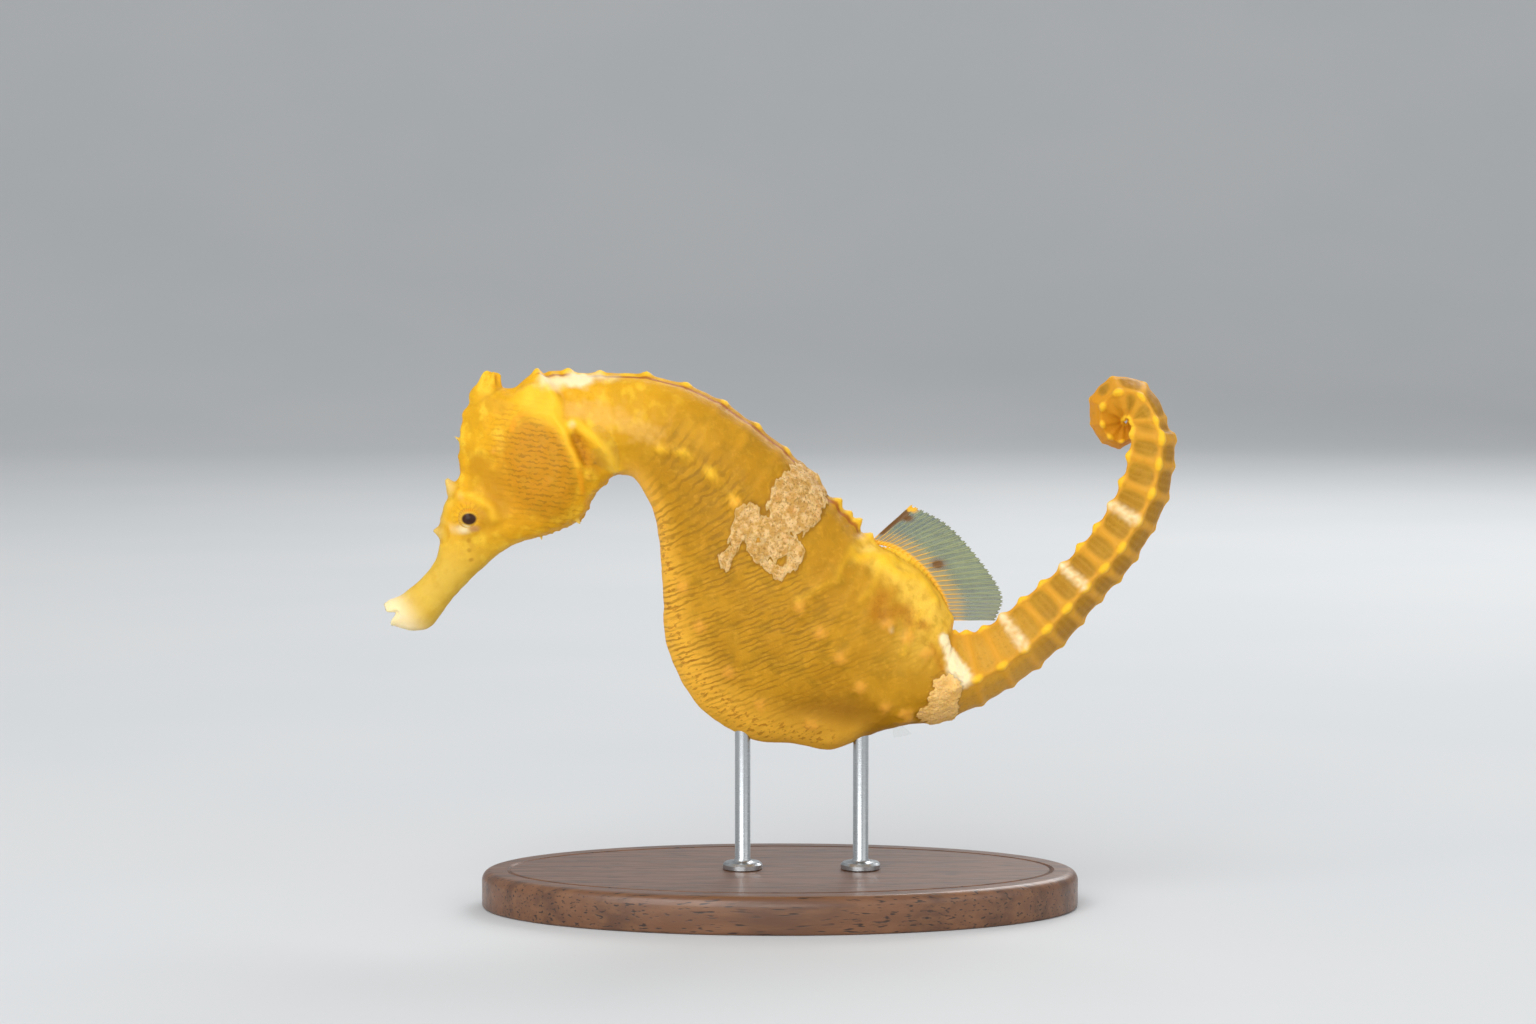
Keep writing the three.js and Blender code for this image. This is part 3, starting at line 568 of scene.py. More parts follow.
    def oval(self, place):
        """A soft mark seen from the side, 1 at its centre: place gives x, z, half length and half height."""
        x, z, long, high = place
        return bump(np.hypot((self.x - x) / long, (self.z - z) / high))

    def stretch(self, rise, fall):
        """1 on a length of the body, with soft ends: each gives two places counted in stations."""
        return step_up(self.place, *rise) * (1 - step_up(self.place, *fall))

    def gill_depth(self):
        """How deep a point lies inside the oval of the gill cover, in millimetres."""
        across = self.x - GILL_CENTRE[0]
        up = self.z - GILL_CENTRE[1]
        long = up * math.cos(GILL_LEAN) - across * math.sin(GILL_LEAN)
        short = across * math.cos(GILL_LEAN) + up * math.sin(GILL_LEAN)
        return (1 - np.hypot(short / GILL_HALF[0], long / GILL_HALF[1])) * GILL_HALF[0]

    def inside_ovals(self, ovals):
        """How deep the skin lies inside any of a few overlapping ovals seen from the side, in millimetres."""
        deepest = np.full(self.x.shape, -FAR)
        for x, z, long, high in ovals:
            share = np.hypot((self.x - x) / long, (self.z - z) / high)
            depth = (1 - share) * min(long, high)
            deepest = np.logaddexp(deepest * OVAL_BLEND, depth * OVAL_BLEND) / OVAL_BLEND
        return deepest

    def rough(self, size, seed):
        """Soft noise over the skin, about -1 to 1, with lumps of the given size."""
        offset = Vector((seed * 17.3, seed * 5.1, seed * 9.7))
        flat = self.points.reshape(-1, 3) / size
        values = [noise.noise(Vector(p) + offset) for p in flat]
        return np.array(values).reshape(self.x.shape)

# ---------------------------------------------------------------- relief and markings of the skin

# Slope of the flank's fine dark lines, in degrees, at heights over the floor.
LINE_SLOPES = ((25, 27), (40, 22), (56, 23), (64, 34), (74, 48), (84, 60))
LINE_STEPS = 300
PALE_RINGS = (3, 6, 9)
# Heights of the relief: ridges, ring lines and bars of the tail; rings, keels, knobs and teeth of the trunk.
TAIL_RIDGE = 0.25
TAIL_RING = 0.26
CELL_BARS = 0.015
TRUNK_RING = 0.14
BACK_KEEL = 0.4
BELLY_KEEL = 0.22
BACK_KNOB = 0.45
BACK_TOOTH = 1.2
# Heights on the head: the lid round the eye, the pit it sits in, the gill cover, crest, throat and lips.
LID = 0.6
EYE_PIT = 1.6
GILL_COVER = 0.5
CREST = 0.3
THROAT = 0.5
LIP_RIM = 0.18

# Ridges along a line, as (line, height, breadth) in millimetres; below 0 for a groove. Lines with a wavering
# breadth end with how much it wavers, the size of its waves and a seed.
HEAD_RIDGES = (
    (GILL_RIM, 0.28, 0.6), (HEAD_EDGE, 0.5, 0.75), (NECK_CREASE, -0.45, 0.6), (SHOULDER_BONE, 0.45, 0.95),
    (FIN_PIT, -0.3, 1.1), (BROW_RIDGE, 0.75, 1.0), (CROWN, 0.35, 1.8),
)
HEAD_KNOBS = ((FOREHEAD_KNOBS, 0.35, 0.75), (HEAD_SPOTS, 0.3, 0.6))
# Painted lines, as (line, strength, breadth) in the same form.
STREAK_LINES = tuple((line, 1, 0.9) for line in STREAKS) + tuple((line, 0.3, 0.9) for line in NECK_STREAKS)
# Painted shade in the fin pit and the neck's crease, between the ridges below the dorsal fin and beside the
# pale band at the tail's root.
PIT_SHADE_LINES = (
    (FIN_PIT, 0.75, 1.7), (NECK_CREASE, 0.5, 0.8), (SADDLE_SHADE, 0.8, 1.5), (ROOT_BAND_SHADE, 0.7, 0.7),
)
BRIGHT_LINES = ((CROWN, 0.85, 2.6), (SHOULDER_BONE, 1, 1.0), (HEAD_EDGE, 0.65, 1.0), (BROW_RIDGE, 0.6, 1.1))
PALE_LINES = (
    (NAPE_PALE, 0.8, 2.1, 1.1, 1.1, 24), (NECK_PALE, 0.5, 1.7, 0.8, 0.9, 25), (FACE_PALE, 0.25, 1.5),
    (BROW_PALE, 0.33, 1.2),
)
GOLD_LINES = ((MOUND_FOOT, 0.9, 2.4), (SADDLE_GLOW, 0.75, 2.8, 1.6, 1.4, 29))


def tail_form(skin, knob):
    """Knobs, ridges and ring lines of the tail, and how far each point lies inside a cell between them."""
    size = np.clip(skin.depth / 3.5, 0.25, 1)
    on_tail = step_up(skin.ring, -1.2, 0.2) * skin.square
    pitch = skin.speed * np.gradient(skin.place[:, 0])[:, None] / np.maximum(
        np.gradient(skin.ring[:, 0])[:, None], 1e-6)
    to_ring = np.abs(skin.ring - np.rint(skin.ring)) * np.clip(pitch, 0.6, 6)
    corner = np.abs(np.mod(skin.turn - skin.roll, np.pi / 2) - np.pi / 4)
    to_ridge = corner * (skin.depth + skin.width) / 2 * 1.15
    knobs = bump(np.power(to_ring / (1.05 * size), 1.4)) * bump(np.power(to_ridge / (1.2 * size), 1.3))
    knobs = knobs * (1 - 0.5 * step_up(skin.fraction, 0.6, 0.9))
    height = knob * knobs * 1.1 - TAIL_RIDGE
    height += TAIL_RIDGE * bump(to_ridge / (0.75 * size)) + TAIL_RING * bump(to_ring / (0.6 * size))
    height += CELL_BARS * np.cos(2 * np.pi * 4 * skin.ring) * step_up(to_ridge, 0.5, 1.2)
    # The corners of a cell are rounded where both lines are near.
    from_ring = to_ring / size - 0.72
    from_ridge = to_ridge / size - 0.78
    inside = 0.12 - np.log(np.exp(-from_ring) + np.exp(-from_ridge)) - 0.7 * knobs
    inside = inside - 2 * step_up(skin.ring, 14, 17.5)
    return height * size * on_tail, inside, knobs * on_tail, on_tail


def pale_bands(skin):
    """The cream bands over single rings of the tail, strongest on its upper flank."""
    band = sum(bump((skin.ring - ring) / 0.3) for ring in PALE_RINGS)
    across = np.abs(np.mod(skin.turn - skin.roll + np.pi / 2, 2 * np.pi) - np.pi)
    upper = 1 - step_up(np.minimum(across, np.abs(across - np.pi)), 0.6, 0.95)
    return band * (0.3 + 0.7 * upper) * (1 + 0.5 * skin.rough(0.7, 21))


def trunk_form(skin):
    """Rings, keels and knobs of the trunk."""
    to_ring = np.min([np.abs(skin.place - ring) for ring in TRUNK_RINGS], axis=0) * skin.speed
    upper = 1 - step_up(skin.fraction, 0.2, 0.6)
    keel = skin.stretch((8.7, 9.3), (15.4, 16.0))
    knobs = sum(bump((skin.place - at) * skin.speed / 0.8) for at in BACK_KNOBS)
    knobs = knobs * bump(skin.to_back / 0.8) * keel
    rings = bump(to_ring / 0.7) * skin.stretch((8.8, 9.6), (20.4, 21.2)) * (0.3 + 0.7 * upper)
    teeth = sum(bump(np.hypot(skin.x - x, skin.z - z) / 0.85) for x, z in BACK_TEETH)
    teeth = teeth * bump(skin.beside / 1.3) * (1 - step_up(skin.fraction, 0.2, 0.4))
    height = TRUNK_RING * rings + BACK_KEEL * keel * bump(skin.to_back / 0.6)
    height += BACK_KNOB * knobs + BACK_TOOTH * teeth
    height += BELLY_KEEL * bump(skin.to_belly / 0.9) * skin.stretch((12.5, 14), (18, 20))
    return height, rings, keel * bump((skin.to_back - 1.2) / 0.4), np.clip(knobs + teeth, 0, 1)


def head_form(skin):
    """Plates, ridges and pits of the head."""
    on_head = 1 - step_up(skin.place, 9.5, 11.5)
    from_eye = np.hypot(skin.x - EYE[0], skin.z - EYE[2]) + 20 * (1 - on_head)
    height = LID * (1 - step_up(from_eye, 1.4, 3.2)) - EYE_PIT * (1 - step_up(from_eye, 0.95, 1.3))
    height += GILL_COVER * step_up(skin.gill_depth(), -0.8, 2.5) + skin.drawn(HEAD_RIDGES)
    for x, z, wide, deep in HEAD_DIPS:
        height -= deep * bump(np.hypot(skin.x - x, skin.z - z) / wide)
    height += CREST * skin.stretch((4.4, 5.2), (7.2, 7.8)) * bump(skin.to_back / 0.9)
    throat = skin.stretch((4.4, 5), (8.4, 9))
    height += THROAT * throat * bump(skin.to_belly / 1.3) * np.clip(skin.rough(0.9, 3), 0, 1)
    height += LIP_RIM * bump((skin.place - 0.4) / 0.3)
    for spots, high, wide in HEAD_KNOBS:
        height += high * skin.dotted(spots, wide)
    height += (0.16 * skin.rough(1.7, 31) + 0.08 * skin.rough(0.8, 32)) * step_up(skin.place, 3, 4.5)
    return height * on_head, from_eye


def open_mouth(skin):
    """Draws the middle of the lips back into a notch."""
    along, up = math.cos(MOUTH_SLOPE), math.sin(MOUTH_SLOPE)
    x = skin.points[..., 0] - MOUTH[0]
    z = skin.points[..., 2] - MOUTH[1]
    back = x * along + z * up
    off = z * along - x * up
    push = MOUTH_DEPTH * bump(off / 0.6) * (1 - step_up(back, -0.6, 1.6)) * (skin.place < 2)
    skin.points[..., 0] += push * along
    skin.points[..., 2] += push * up


def line_lie(skin):
    """Two numbers that the flank's fine lines follow, in millimetres: one grows across and one along them."""
    heights, slopes = np.array(LINE_SLOPES, float).T
    fine = np.linspace(heights[0], heights[-1], LINE_STEPS)
    steep = 1 / np.tan(np.radians(np.interp(fine, heights, slopes)))
    rise = np.concatenate(((0,), np.cumsum((steep[1:] + steep[:-1]) / 2 * np.diff(fine))))
    least = math.radians(slopes.min())
    across = (np.interp(skin.z, fine, rise) - skin.x) * math.sin(least)
    return across, skin.x * math.cos(least) + skin.z * math.sin(least)


def growth_depth(skin):
    """How deep a point lies inside a rough growth; below 0 outside."""
    growth = np.maximum(skin.inside_ovals(GROWTH), skin.inside_ovals(ROOT_GROWTH))
    for strand in GROWTH_STRANDS:
        growth = np.maximum(growth, STRAND - skin.from_line(strand))
    return growth + 0.65 * skin.rough(1.3, 5) + 0.6 * skin.rough(0.55, 6) - 0.1


def shape_skin(skin, settings):
    """Raises the relief out of the bare body and returns the marks that the material paints."""
    tail, inside, tail_knobs, on_tail = tail_form(skin, settings.ring_knob / MM)
    trunk, rings, keel, knobs = trunk_form(skin)
    head, from_eye = head_form(skin)
    growth = growth_depth(skin)
    on_growth = step_up(growth, -0.15, 0.35)
    wander = 1 + 0.55 * skin.rough(0.75, 12)
    spots = skin.dotted(LATERAL_SPOTS[3:] + LOWER_SPOTS + UPPER_SPOTS, 1.2 * wander) * (1 - on_growth)
    yellow_spots = skin.dotted(LATERAL_SPOTS[:4], 1.3 * wander)
    chain = skin.along(LATERAL_SPOTS, 0.8)
    fin_ridge = skin.along(FIN_RIDGE, 1.2)
    strut = skin.along(FIN_STRUT, 0.9)
    mound_foot = skin.along(MOUND_FOOT, 1.3)
    streaks = skin.drawn(STREAK_LINES)
    band = skin.along(ROOT_BAND, 1.05 + 0.7 * step_up(42 - skin.z, 0, 4) + 0.35 * skin.rough(0.7, 22))
    pale_rings = pale_bands(skin) * on_tail

    height = tail + trunk + head + 0.4 * (spots + yellow_spots) + 0.12 * chain
    height += 0.5 * fin_ridge + 0.35 * strut + 0.3 * streaks + 0.5 * mound_foot
    height += (0.5 + 0.25 * skin.rough(0.6, 23)) * band
    height += on_growth * (0.32 + 0.16 * skin.rough(0.7, 8) + 0.12 * skin.rough(1.5, 9))
    height += 0.12 * skin.rough(2.2, 10) + 0.05 * skin.rough(0.9, 11)
    height *= settings.relief * skin.shrink

    place, fraction, ring = skin.place, skin.fraction, skin.ring
    across, along = line_lie(skin)
    from_flush = skin.from_line(NECK_FLUSH)
    round_eye = np.abs(np.arctan2(skin.x - EYE[0], skin.z - EYE[2]))
    flank = skin.stretch((10.5, 12.5), (18.6, 20.6)) * step_up(fraction, 0.08, 0.4) * (1 - on_growth)
    flank *= (0.8 + 0.2 * step_up(place, 12.6, 14)) * (1 - 0.6 * step_up(skin.x, -2, 15))
    edge = skin.stretch((11.6, 12.6), (17.4, 18.4)) * step_up(fraction, 0.84, 0.93)
    marks = {
        "lie": np.stack((across, along, ring + 0 * along), axis=-1),
        "head": 1 - step_up(place + 1.5 * (fraction - 0.5), 9.0, 12.5),
        "snout": np.maximum(1 - step_up(place, 1.5, 5.0), 0.75 * skin.along(FACE_PALE, 2.0)),
        "lips": 1 - step_up(place, 0.1, 1.7),
        "eye": from_eye,
        "lid": np.stack((round_eye, from_eye, 0 * from_eye), axis=-1),
        "blush": skin.oval(EYE_BLUSH),
        "gill": skin.gill_depth(),
        "rim": bump((skin.from_line(GILL_RIM) - 0.1) / 0.55),
        "cheek": skin.oval(CHEEK),
        "cheek_shade": skin.along(CHEEK_SHADE, 2.6 + 1.6 * skin.rough(1.6, 26)),
        # Painted shade in the fin pit, the neck's crease, between the ridges below the dorsal fin and beside
        # the band at the tail's root.
        "pit_shade": skin.drawn(PIT_SHADE_LINES),
        "bright": np.clip(skin.drawn(BRIGHT_LINES) + 0.75 * fin_ridge + 0.4 * streaks + 0.45 * yellow_spots
                          + 0.25 * chain + 0.8 * mound_foot, 0, 1),
        "pale": np.clip(skin.drawn(PALE_LINES) + 1.4 * band + 0.7 * pale_rings + 0.2 * strut
                        + 0.6 * skin.dotted(HEAD_SPOTS[2:], 0.9) + 0.4 * skin.dotted(UNDER_FIN_SPOT, 0.7)
                        + 0.4 * skin.oval(NOSE_PALE) + 0.68 * skin.oval(EYE_CRESCENT), 0, 1.2),
        "freckle": skin.dotted(FRECKLES, 0.42 * wander),
        "keel": keel,
        "ring_line": rings,
        "spot": np.clip(spots + 0.7 * skin.dotted(HEAD_SPOTS[:2], 0.6) + 0.7 * skin.oval(EYE_ARC), 0, 1),
        "growth": growth,
        "root_crust": step_up(skin.inside_ovals(ROOT_GROWTH), -1.2, 0.2),
        "curl": step_up(ring, 13.5, 17) * on_tail,
        "gold": np.clip(skin.drawn(GOLD_LINES) + 0.45 * skin.oval(LOIN_GLOW) * (1 - on_growth), 0, 1),
        "flush": 0.8 * bump(from_flush / (2.2 + 1.8 * skin.rough(1.5, 27)))
                 + 0.35 * skin.rough(0.8, 28) * (1 - step_up(from_flush, 1.5, 4.5)),
        "near_root": (1 - step_up(ring, 1.5, 5.5)) * on_tail,
        "tail": on_tail,
        "cell": inside,
        "low_cell": step_up(fraction, 0.5, 0.75) * on_tail,
        "knob": np.clip(tail_knobs * (1 - 0.7 * np.clip(pale_rings, 0, 1)) + knobs, 0, 1),
        "flank": flank * (0.35 + 0.65 * step_up(skin.z, 30, 40)),
        "edge": edge * (1 - 0.8 * step_up(fraction, 0.965, 0.99)),
        # Painted rim light: yellow along the belly's edge, where light shines through the skin.
        "rim_light": skin.stretch((8.6, 10.4), (18.2, 19.4)) * step_up(fraction, 0.7, 0.99),
        # Painted shade: brown on the low belly, away from the light above.
        "shade": skin.oval(BELLY_SHADE) * skin.stretch((11, 13), (20.2, 21)),
        "part": 0 * fraction,
    }
    skin.points = skin.points + skin.normal * height[..., None]
    open_mouth(skin)
    return marks


# ---------------------------------------------------------------- materials


def add_node(tree, kind, inputs=(), **settings):
    """Adds a node. inputs gives each socket a constant or the output that feeds it."""
    made = tree.nodes.new(kind)
    for name, value in settings.items():
        setattr(made, name, value)
    for socket, value in dict(inputs).items():
        if isinstance(value, bpy.types.NodeSocket):
            tree.links.new(value, made.inputs[socket])
        else:
            made.inputs[socket].default_value = value
    return made


def rgba(paint):
    """A colour for a socket, from #RRGGBB, from a setting or from another node's output."""
    if isinstance(paint, bpy.types.NodeSocket):
        return paint
    return tuple(linear(paint) if isinstance(paint, str) else paint) + (1,)


class Paint:
    """The nodes of one material, with patterns measured in millimetres on the model."""

    def __init__(self, name, finish):
        self.material = bpy.data.materials.new(name)
        self.material.use_nodes = True
        self.tree = self.material.node_tree
        self.tree.nodes.clear()
        self.shader = add_node(self.tree, "ShaderNodeBsdfPrincipled", finish)
        add_node(self.tree, "ShaderNodeOutputMaterial", {"Surface": self.shader.outputs["BSDF"]})
        self.plain = None

    def feed(self, socket, value):
        self.tree.links.new(value, self.shader.inputs[socket])

    def mark(self, name, output="Fac"):
        """A mark stored on the piece's points."""
        return add_node(self.tree, "ShaderNodeAttribute", attribute_name=name).outputs[output]

    def mask(self, value, low, high, out=1.0):
        """A pattern or a stored mark, by its name, as a mask: 0 where it is low and out where it is high."""
        return add_node(self.tree, "ShaderNodeMapRange", {
            "Value": self.mark(value) if isinstance(value, str) else value,
            "From Min": low, "From Max": high, "To Max": out,
        }, interpolation_type="SMOOTHSTEP").outputs["Result"]

    def math(self, operation, first, second):
        made = add_node(self.tree, "ShaderNodeMath", {0: first, 1: second}, operation=operation)
        return made.outputs["Value"]

    def product(self, first, *factors):
        """Several masks multiplied into one."""
        for factor in factors:
            first = self.math("MULTIPLY", first, factor)
        return first

    def coats(self, ground, *coats):
        """A ground colour under coats of (mask, colour), each laid over the last."""
        made = rgba(ground)
        for cover, paint in coats:
            made = add_node(self.tree, "ShaderNodeMix", {0: cover, 6: made, 7: rgba(paint)}, data_type="RGBA")
            made = made.outputs[2]
        return made

    def stretched(self, stretch=(1, 1, 1), turn=(0, 0, 0)):
        """The place on the model in millimetres, turned and then squeezed so that a pattern stretches."""
        place = add_node(self.tree, "ShaderNodeTexCoord").outputs["Object"]
        return add_node(self.tree, "ShaderNodeMapping", {
            "Vector": place, "Scale": [1 / (MM * share) for share in stretch], "Rotation": turn,
        }).outputs["Vector"]

    def grain(self, size, low, high, out=1.0, place=None, detail=2.0):
        """Soft noise with grains of a size in millimetres, as a mask between two levels."""
        if place is None:
            self.plain = place = self.plain or self.stretched()
        made = add_node(self.tree, "ShaderNodeTexNoise", {
            "Vector": place, "Scale": 1 / size, "Detail": detail, "Roughness": 0.55,
        })
        return self.mask(made.outputs["Fac"], low, high, out)

    def lines(self, place, gap, wander, swirl, low, high, out=1.0):
        """Wavering lines a gap apart, as a mask: thin where low is near 1, and the more wander the wilder."""
        made = add_node(self.tree, "ShaderNodeTexWave", {
            "Vector": place, "Scale": 2 * math.pi / 20 / gap, "Distortion": wander, "Detail": 2.0,
            "Detail Scale": swirl, "Detail Roughness": 0.6,
        })
        return self.mask(made.outputs["Fac"], low, high, out)

    def roughen(self, pattern, least, most):
        """Lets the roughness follow a pattern."""
        made = add_node(self.tree, "ShaderNodeMapRange", {"Value": pattern, "To Min": least, "To Max": most})
        self.feed("Roughness", made.outputs["Result"])

    def emboss(self, *layers):
        """Bumps laid over each other, each as (height, strength, depth in millimetres, sunk or not)."""
        normal = None
        for height, strength, depth, sunk in layers:
            inputs = {"Height": height, "Strength": strength, "Distance": depth * MM}
            if normal:
                inputs["Normal"] = normal
            normal = add_node(self.tree, "ShaderNodeBump", inputs, invert=sunk).outputs["Normal"]
        self.feed("Normal", normal)


LINE_STRETCH = (1, 0.42, 0)
GILL_LINES_LEAN = math.radians(-98)


def skin_material(settings):
    """Moist skin over bony plates, under a museum cast's satin varnish; light soaks in softly at edges."""
    paint = Paint("Seahorse Skin", {
        "IOR": 1.4, "Specular IOR Level": 0.24, "Subsurface Weight": 0.25,
        "Subsurface Radius": (1.0, 0.6, 0.15), "Subsurface Scale": 1.6 * MM,
    })
    mask, product, grain, lines, coats = paint.mask, paint.product, paint.grain, paint.lines, paint.coats
    lie = paint.mark("lie", "Vector")
    flank_lie = add_node(paint.tree, "ShaderNodeMapping", {"Vector": lie, "Scale": LINE_STRETCH})
    flank_lie = flank_lie.outputs["Vector"]
    head = mask("head", 0, 1)

    # Ground of the trunk: mustard, clouded with yellow and olive, with brown painted shade on the low belly
    # and a yellow painted rim light along the belly's edge.
    ground = coats(
        settings.mustard,
        (grain(8.0, 0.38, 0.66, 0.6), "#C8921C"),
        (grain(2.6, 0.45, 0.72, 0.5), "#98700E"),
        (grain(1.1, 0.5, 0.75, 0.35), "#D8A02A"),
        # Painted shade on the low belly.
        (mask("shade", 0.05, 0.9, 0.75), "#8C5C0E"),
        (mask("rim_light", 0.0, 1.0, 0.8), "#F0B43C"),
    )

    # Fine dark lines of the flank, broken and wavering, and the dots that they end in by the belly's edge.
    fine = lines(flank_lie, settings.line_gap / MM, 5.2, 2.0, 0.4, 0.98, 0.62)
    fine = product(fine, grain(1.6, 0.32, 0.52, place=flank_lie), grain(6.0, 0.3, 0.55),
                   mask("flank", 0.05, 0.9))
    dots = product(grain(0.5, 0.54, 0.62, place=flank_lie), mask("edge", 0.1, 0.8))

    # Gill cover: rows of short dashes on olive gold. Lower cheek: faint streaks that run into them.
    gill_place = paint.stretched(turn=(0, GILL_LINES_LEAN, 0))
    gill = mask("gill", -1.6, 1.6)
    dashes = lines(gill_place, 0.84, 5.5, 2.6, 0.4, 0.95, 0.55)
    gaps = grain(0.75, 0.36, 0.6, place=paint.stretched((1.5, 1.0, 0.8)))
    cheek_streaks = product(lines(gill_place, 0.85, 3.5, 2.2, 0.5, 1.0, 0.55), mask("gill", -4.5, -0.5),
                            mask("head", 0.5, 1), grain(2.0, 0.4, 0.6))

    # Folds of the lid, fanned round the eye.
    folds = product(lines(paint.mark("lid", "Vector"), 0.34, 3.0, 1.5, 0.45, 0.95, 0.28),
                    mask("eye", 1.2, 1.7), mask("eye", 2.9, 2.1))

    # Tail: yellow rings and ridges round olive brown cells with faint bars.
    bars_lie = add_node(paint.tree, "ShaderNodeVectorRotate", {"Vector": lie, "Angle": math.pi / 2},
                        rotation_type="Y_AXIS").outputs["Vector"]
    cell_colour = coats(
        settings.umber,
        (grain(3.5, 0.35, 0.65, 0.6), "#B5861E"),
        (mask("low_cell", 0, 1, 0.45), "#A06A0C"),
        (mask("near_root", 0, 1, 0.6), "#D9A034"),
        (lines(bars_lie, 0.25, 1.6, 3.0, 0.4, 0.9, 0.15), "#D0A040"),
        (grain(0.5, 0.5, 0.7, 0.25), "#8A600F"),
    )

    skin_colour = coats(
        ground,
        (head, settings.yellow),
        (product(head, grain(4.5, 0.4, 0.62, 0.65)), "#C99414"),
        (product(head, grain(2.4, 0.48, 0.7, 0.6)), "#F7CB3A"),
        (product(head, grain(0.6, 0.5, 0.7, 0.4)), "#C98F12"),
        (product(head, mask("cheek", 0.1, 1.0, 0.6)), "#CF8C14"),
        (product(mask("cheek_shade", 0.05, 1.0, 0.75), head), "#BC8410"),
        (cheek_streaks, "#B57B12"),
        (mask("ring_line", 0.1, 1.0, 0.12), "#E6A832"),
        (product(mask("gold", 0.0, 1.0, 0.8), mask(grain(1.4, 0.68, 0.34), -1.1, 1.0)), "#FFD050"),
        (mask("flush", 0.05, 1.0, 0.45), "#E9B862"),
        (fine, settings.olive),
        (product(dots, 0.5), "#8A4A0A"),
        (product(gill, 0.85), "#C48512"),
        (product(gill, grain(1.6, 0.45, 0.7, 0.5)), "#B98716"),
        (product(gill, dashes, gaps), settings.olive),
        # Painted shade in pits and creases, darker and grainy at its heart.
        (mask("pit_shade", 0.1, 1.1, 0.6), "#B0690A"),
        (product(mask("pit_shade", 0.4, 1.0), grain(0.7, 0.45, 0.65, 0.3)), "#7A4708"),
        (mask("rim", 0.2, 1.0, 0.6), "#E79A12"),
        (product(mask("tail", 0.1, 0.8), grain(2.5, 0.1, 0.5)), "#D3972A"),
        (mask("curl", 0, 1, 0.75), "#D18A14"),
        (product(mask("cell", -0.5, 0.45), mask("tail", 0.3, 0.7)), cell_colour),
        (mask("snout", 0.0, 1.0, 0.8), "#D2B048"),
        (product(mask("snout", 0.2, 0.8), grain(1.8, 0.45, 0.65, 0.4)), "#C79A2A"),
        (mask("bright", 0.1, 1.0, 0.85), settings.bright),
        (mask("knob", 0.1, 0.7, 0.8), settings.bright),
        (product(mask("gold", 0.75, 1.0), mask("part", 0.5, 1.0)), "#FFD150"),
        (mask("spot", 0.1, 1.0, 0.5), "#ECA640"),
        (mask("keel", 0.2, 0.8, 0.8), "#9A4E14"),
        (mask("freckle", 0.1, 0.9, 0.5), "#A0650C"),
        (folds, "#B87A18"),
        (mask("pale", 0.15, 1.0, 0.92), settings.cream),
        (mask("lips", 0.1, 1.0, 0.85), settings.cream),
        (mask("blush", 0.2, 0.9, 0.7), "#B5835A"),
    )

    # Crusty growth: tan, with lighter grains as painted highlights and darker grains as painted shade in its
    # pits, a pale rim, and a painted shadow on the skin just outside it.
    growth = product(mask("growth", -0.05, 0.14), mask(grain(1.9, 0.3, 0.7), 0.0, 0.6, 0.3))
    growth = paint.math("ADD", growth, mask("growth", -0.05, 0.14, 0.68))
    growth_colour = coats(
        "#C99A52",
        # Lighter grains are painted highlights on the crust, and darker grains painted shade in its pits.
        (grain(1.1, 0.4, 0.65), "#E9C184"),
        (grain(0.45, 0.5, 0.7, 0.7), "#95702F"),
        (grain(2.6, 0.56, 0.7, 0.35), "#DE9A50"),
        (product(mask("growth", 0.5, 0.15), 0.45), "#DDC088"),
        (mask("root_crust", 0.1, 0.9, 0.85), "#F4C474"),
    )
    # Painted shadow: dark brown on the skin just outside the growth.
    under = product(mask("growth", -0.6, -0.05, 0.4), mask("growth", 0.1, 0.0))
    paint.feed("Base Color", coats(skin_colour, (under, "#7C4D10"), (growth, growth_colour)))
    paint.roughen(grain(1.2, 0.2, 0.8), 0.42, 0.6)
    crust = product(growth, grain(0.5, 0.3, 0.75, detail=3))
    paint.emboss((grain(0.34, 0.2, 0.8, detail=3), 0.5, 0.05, False), (fine, 0.6, 0.05, True),
                 (crust, 0.9, 0.22, False))
    return paint.material


CORNEA_IOR = 1.376


def eye_material(settings):
    """Gold iris under a wet clear cornea: a sharp highlight over fine spokes and a dark pupil."""
    paint = Paint("Wet Eye", {
        "Roughness": 0.35, "IOR": CORNEA_IOR, "Specular IOR Level": 0.25, "Coat Weight": 0.18,
        "Coat Roughness": 0.08, "Coat IOR": CORNEA_IOR,
    })
    mask = paint.mask
    pupil = settings.pupil / MM
    paint.feed("Base Color", paint.coats(
        settings.iris,
        (paint.lines(paint.mark("iris", "Vector"), 0.22, 2.5, 2.0, 0.45, 0.95, 0.4), "#A87A1A"),
        (mask("out", pupil + 0.55, pupil + 0.1, 0.3), "#DDB04C"),
        (mask("arc", 0.2, 1.0, 0.7), "#D98A1E"),
        (mask("crescent", 0.2, 1.0, 0.85), "#EBD79A"),
        (mask("blush", 0.2, 1.0, 0.75), "#A8683C"),
        (mask("out", pupil + 0.28, pupil - 0.1), settings.dark),
        (mask("out", pupil - 0.3, 0.0, 0.5), "#0C0604"),
    ))
    return paint.material


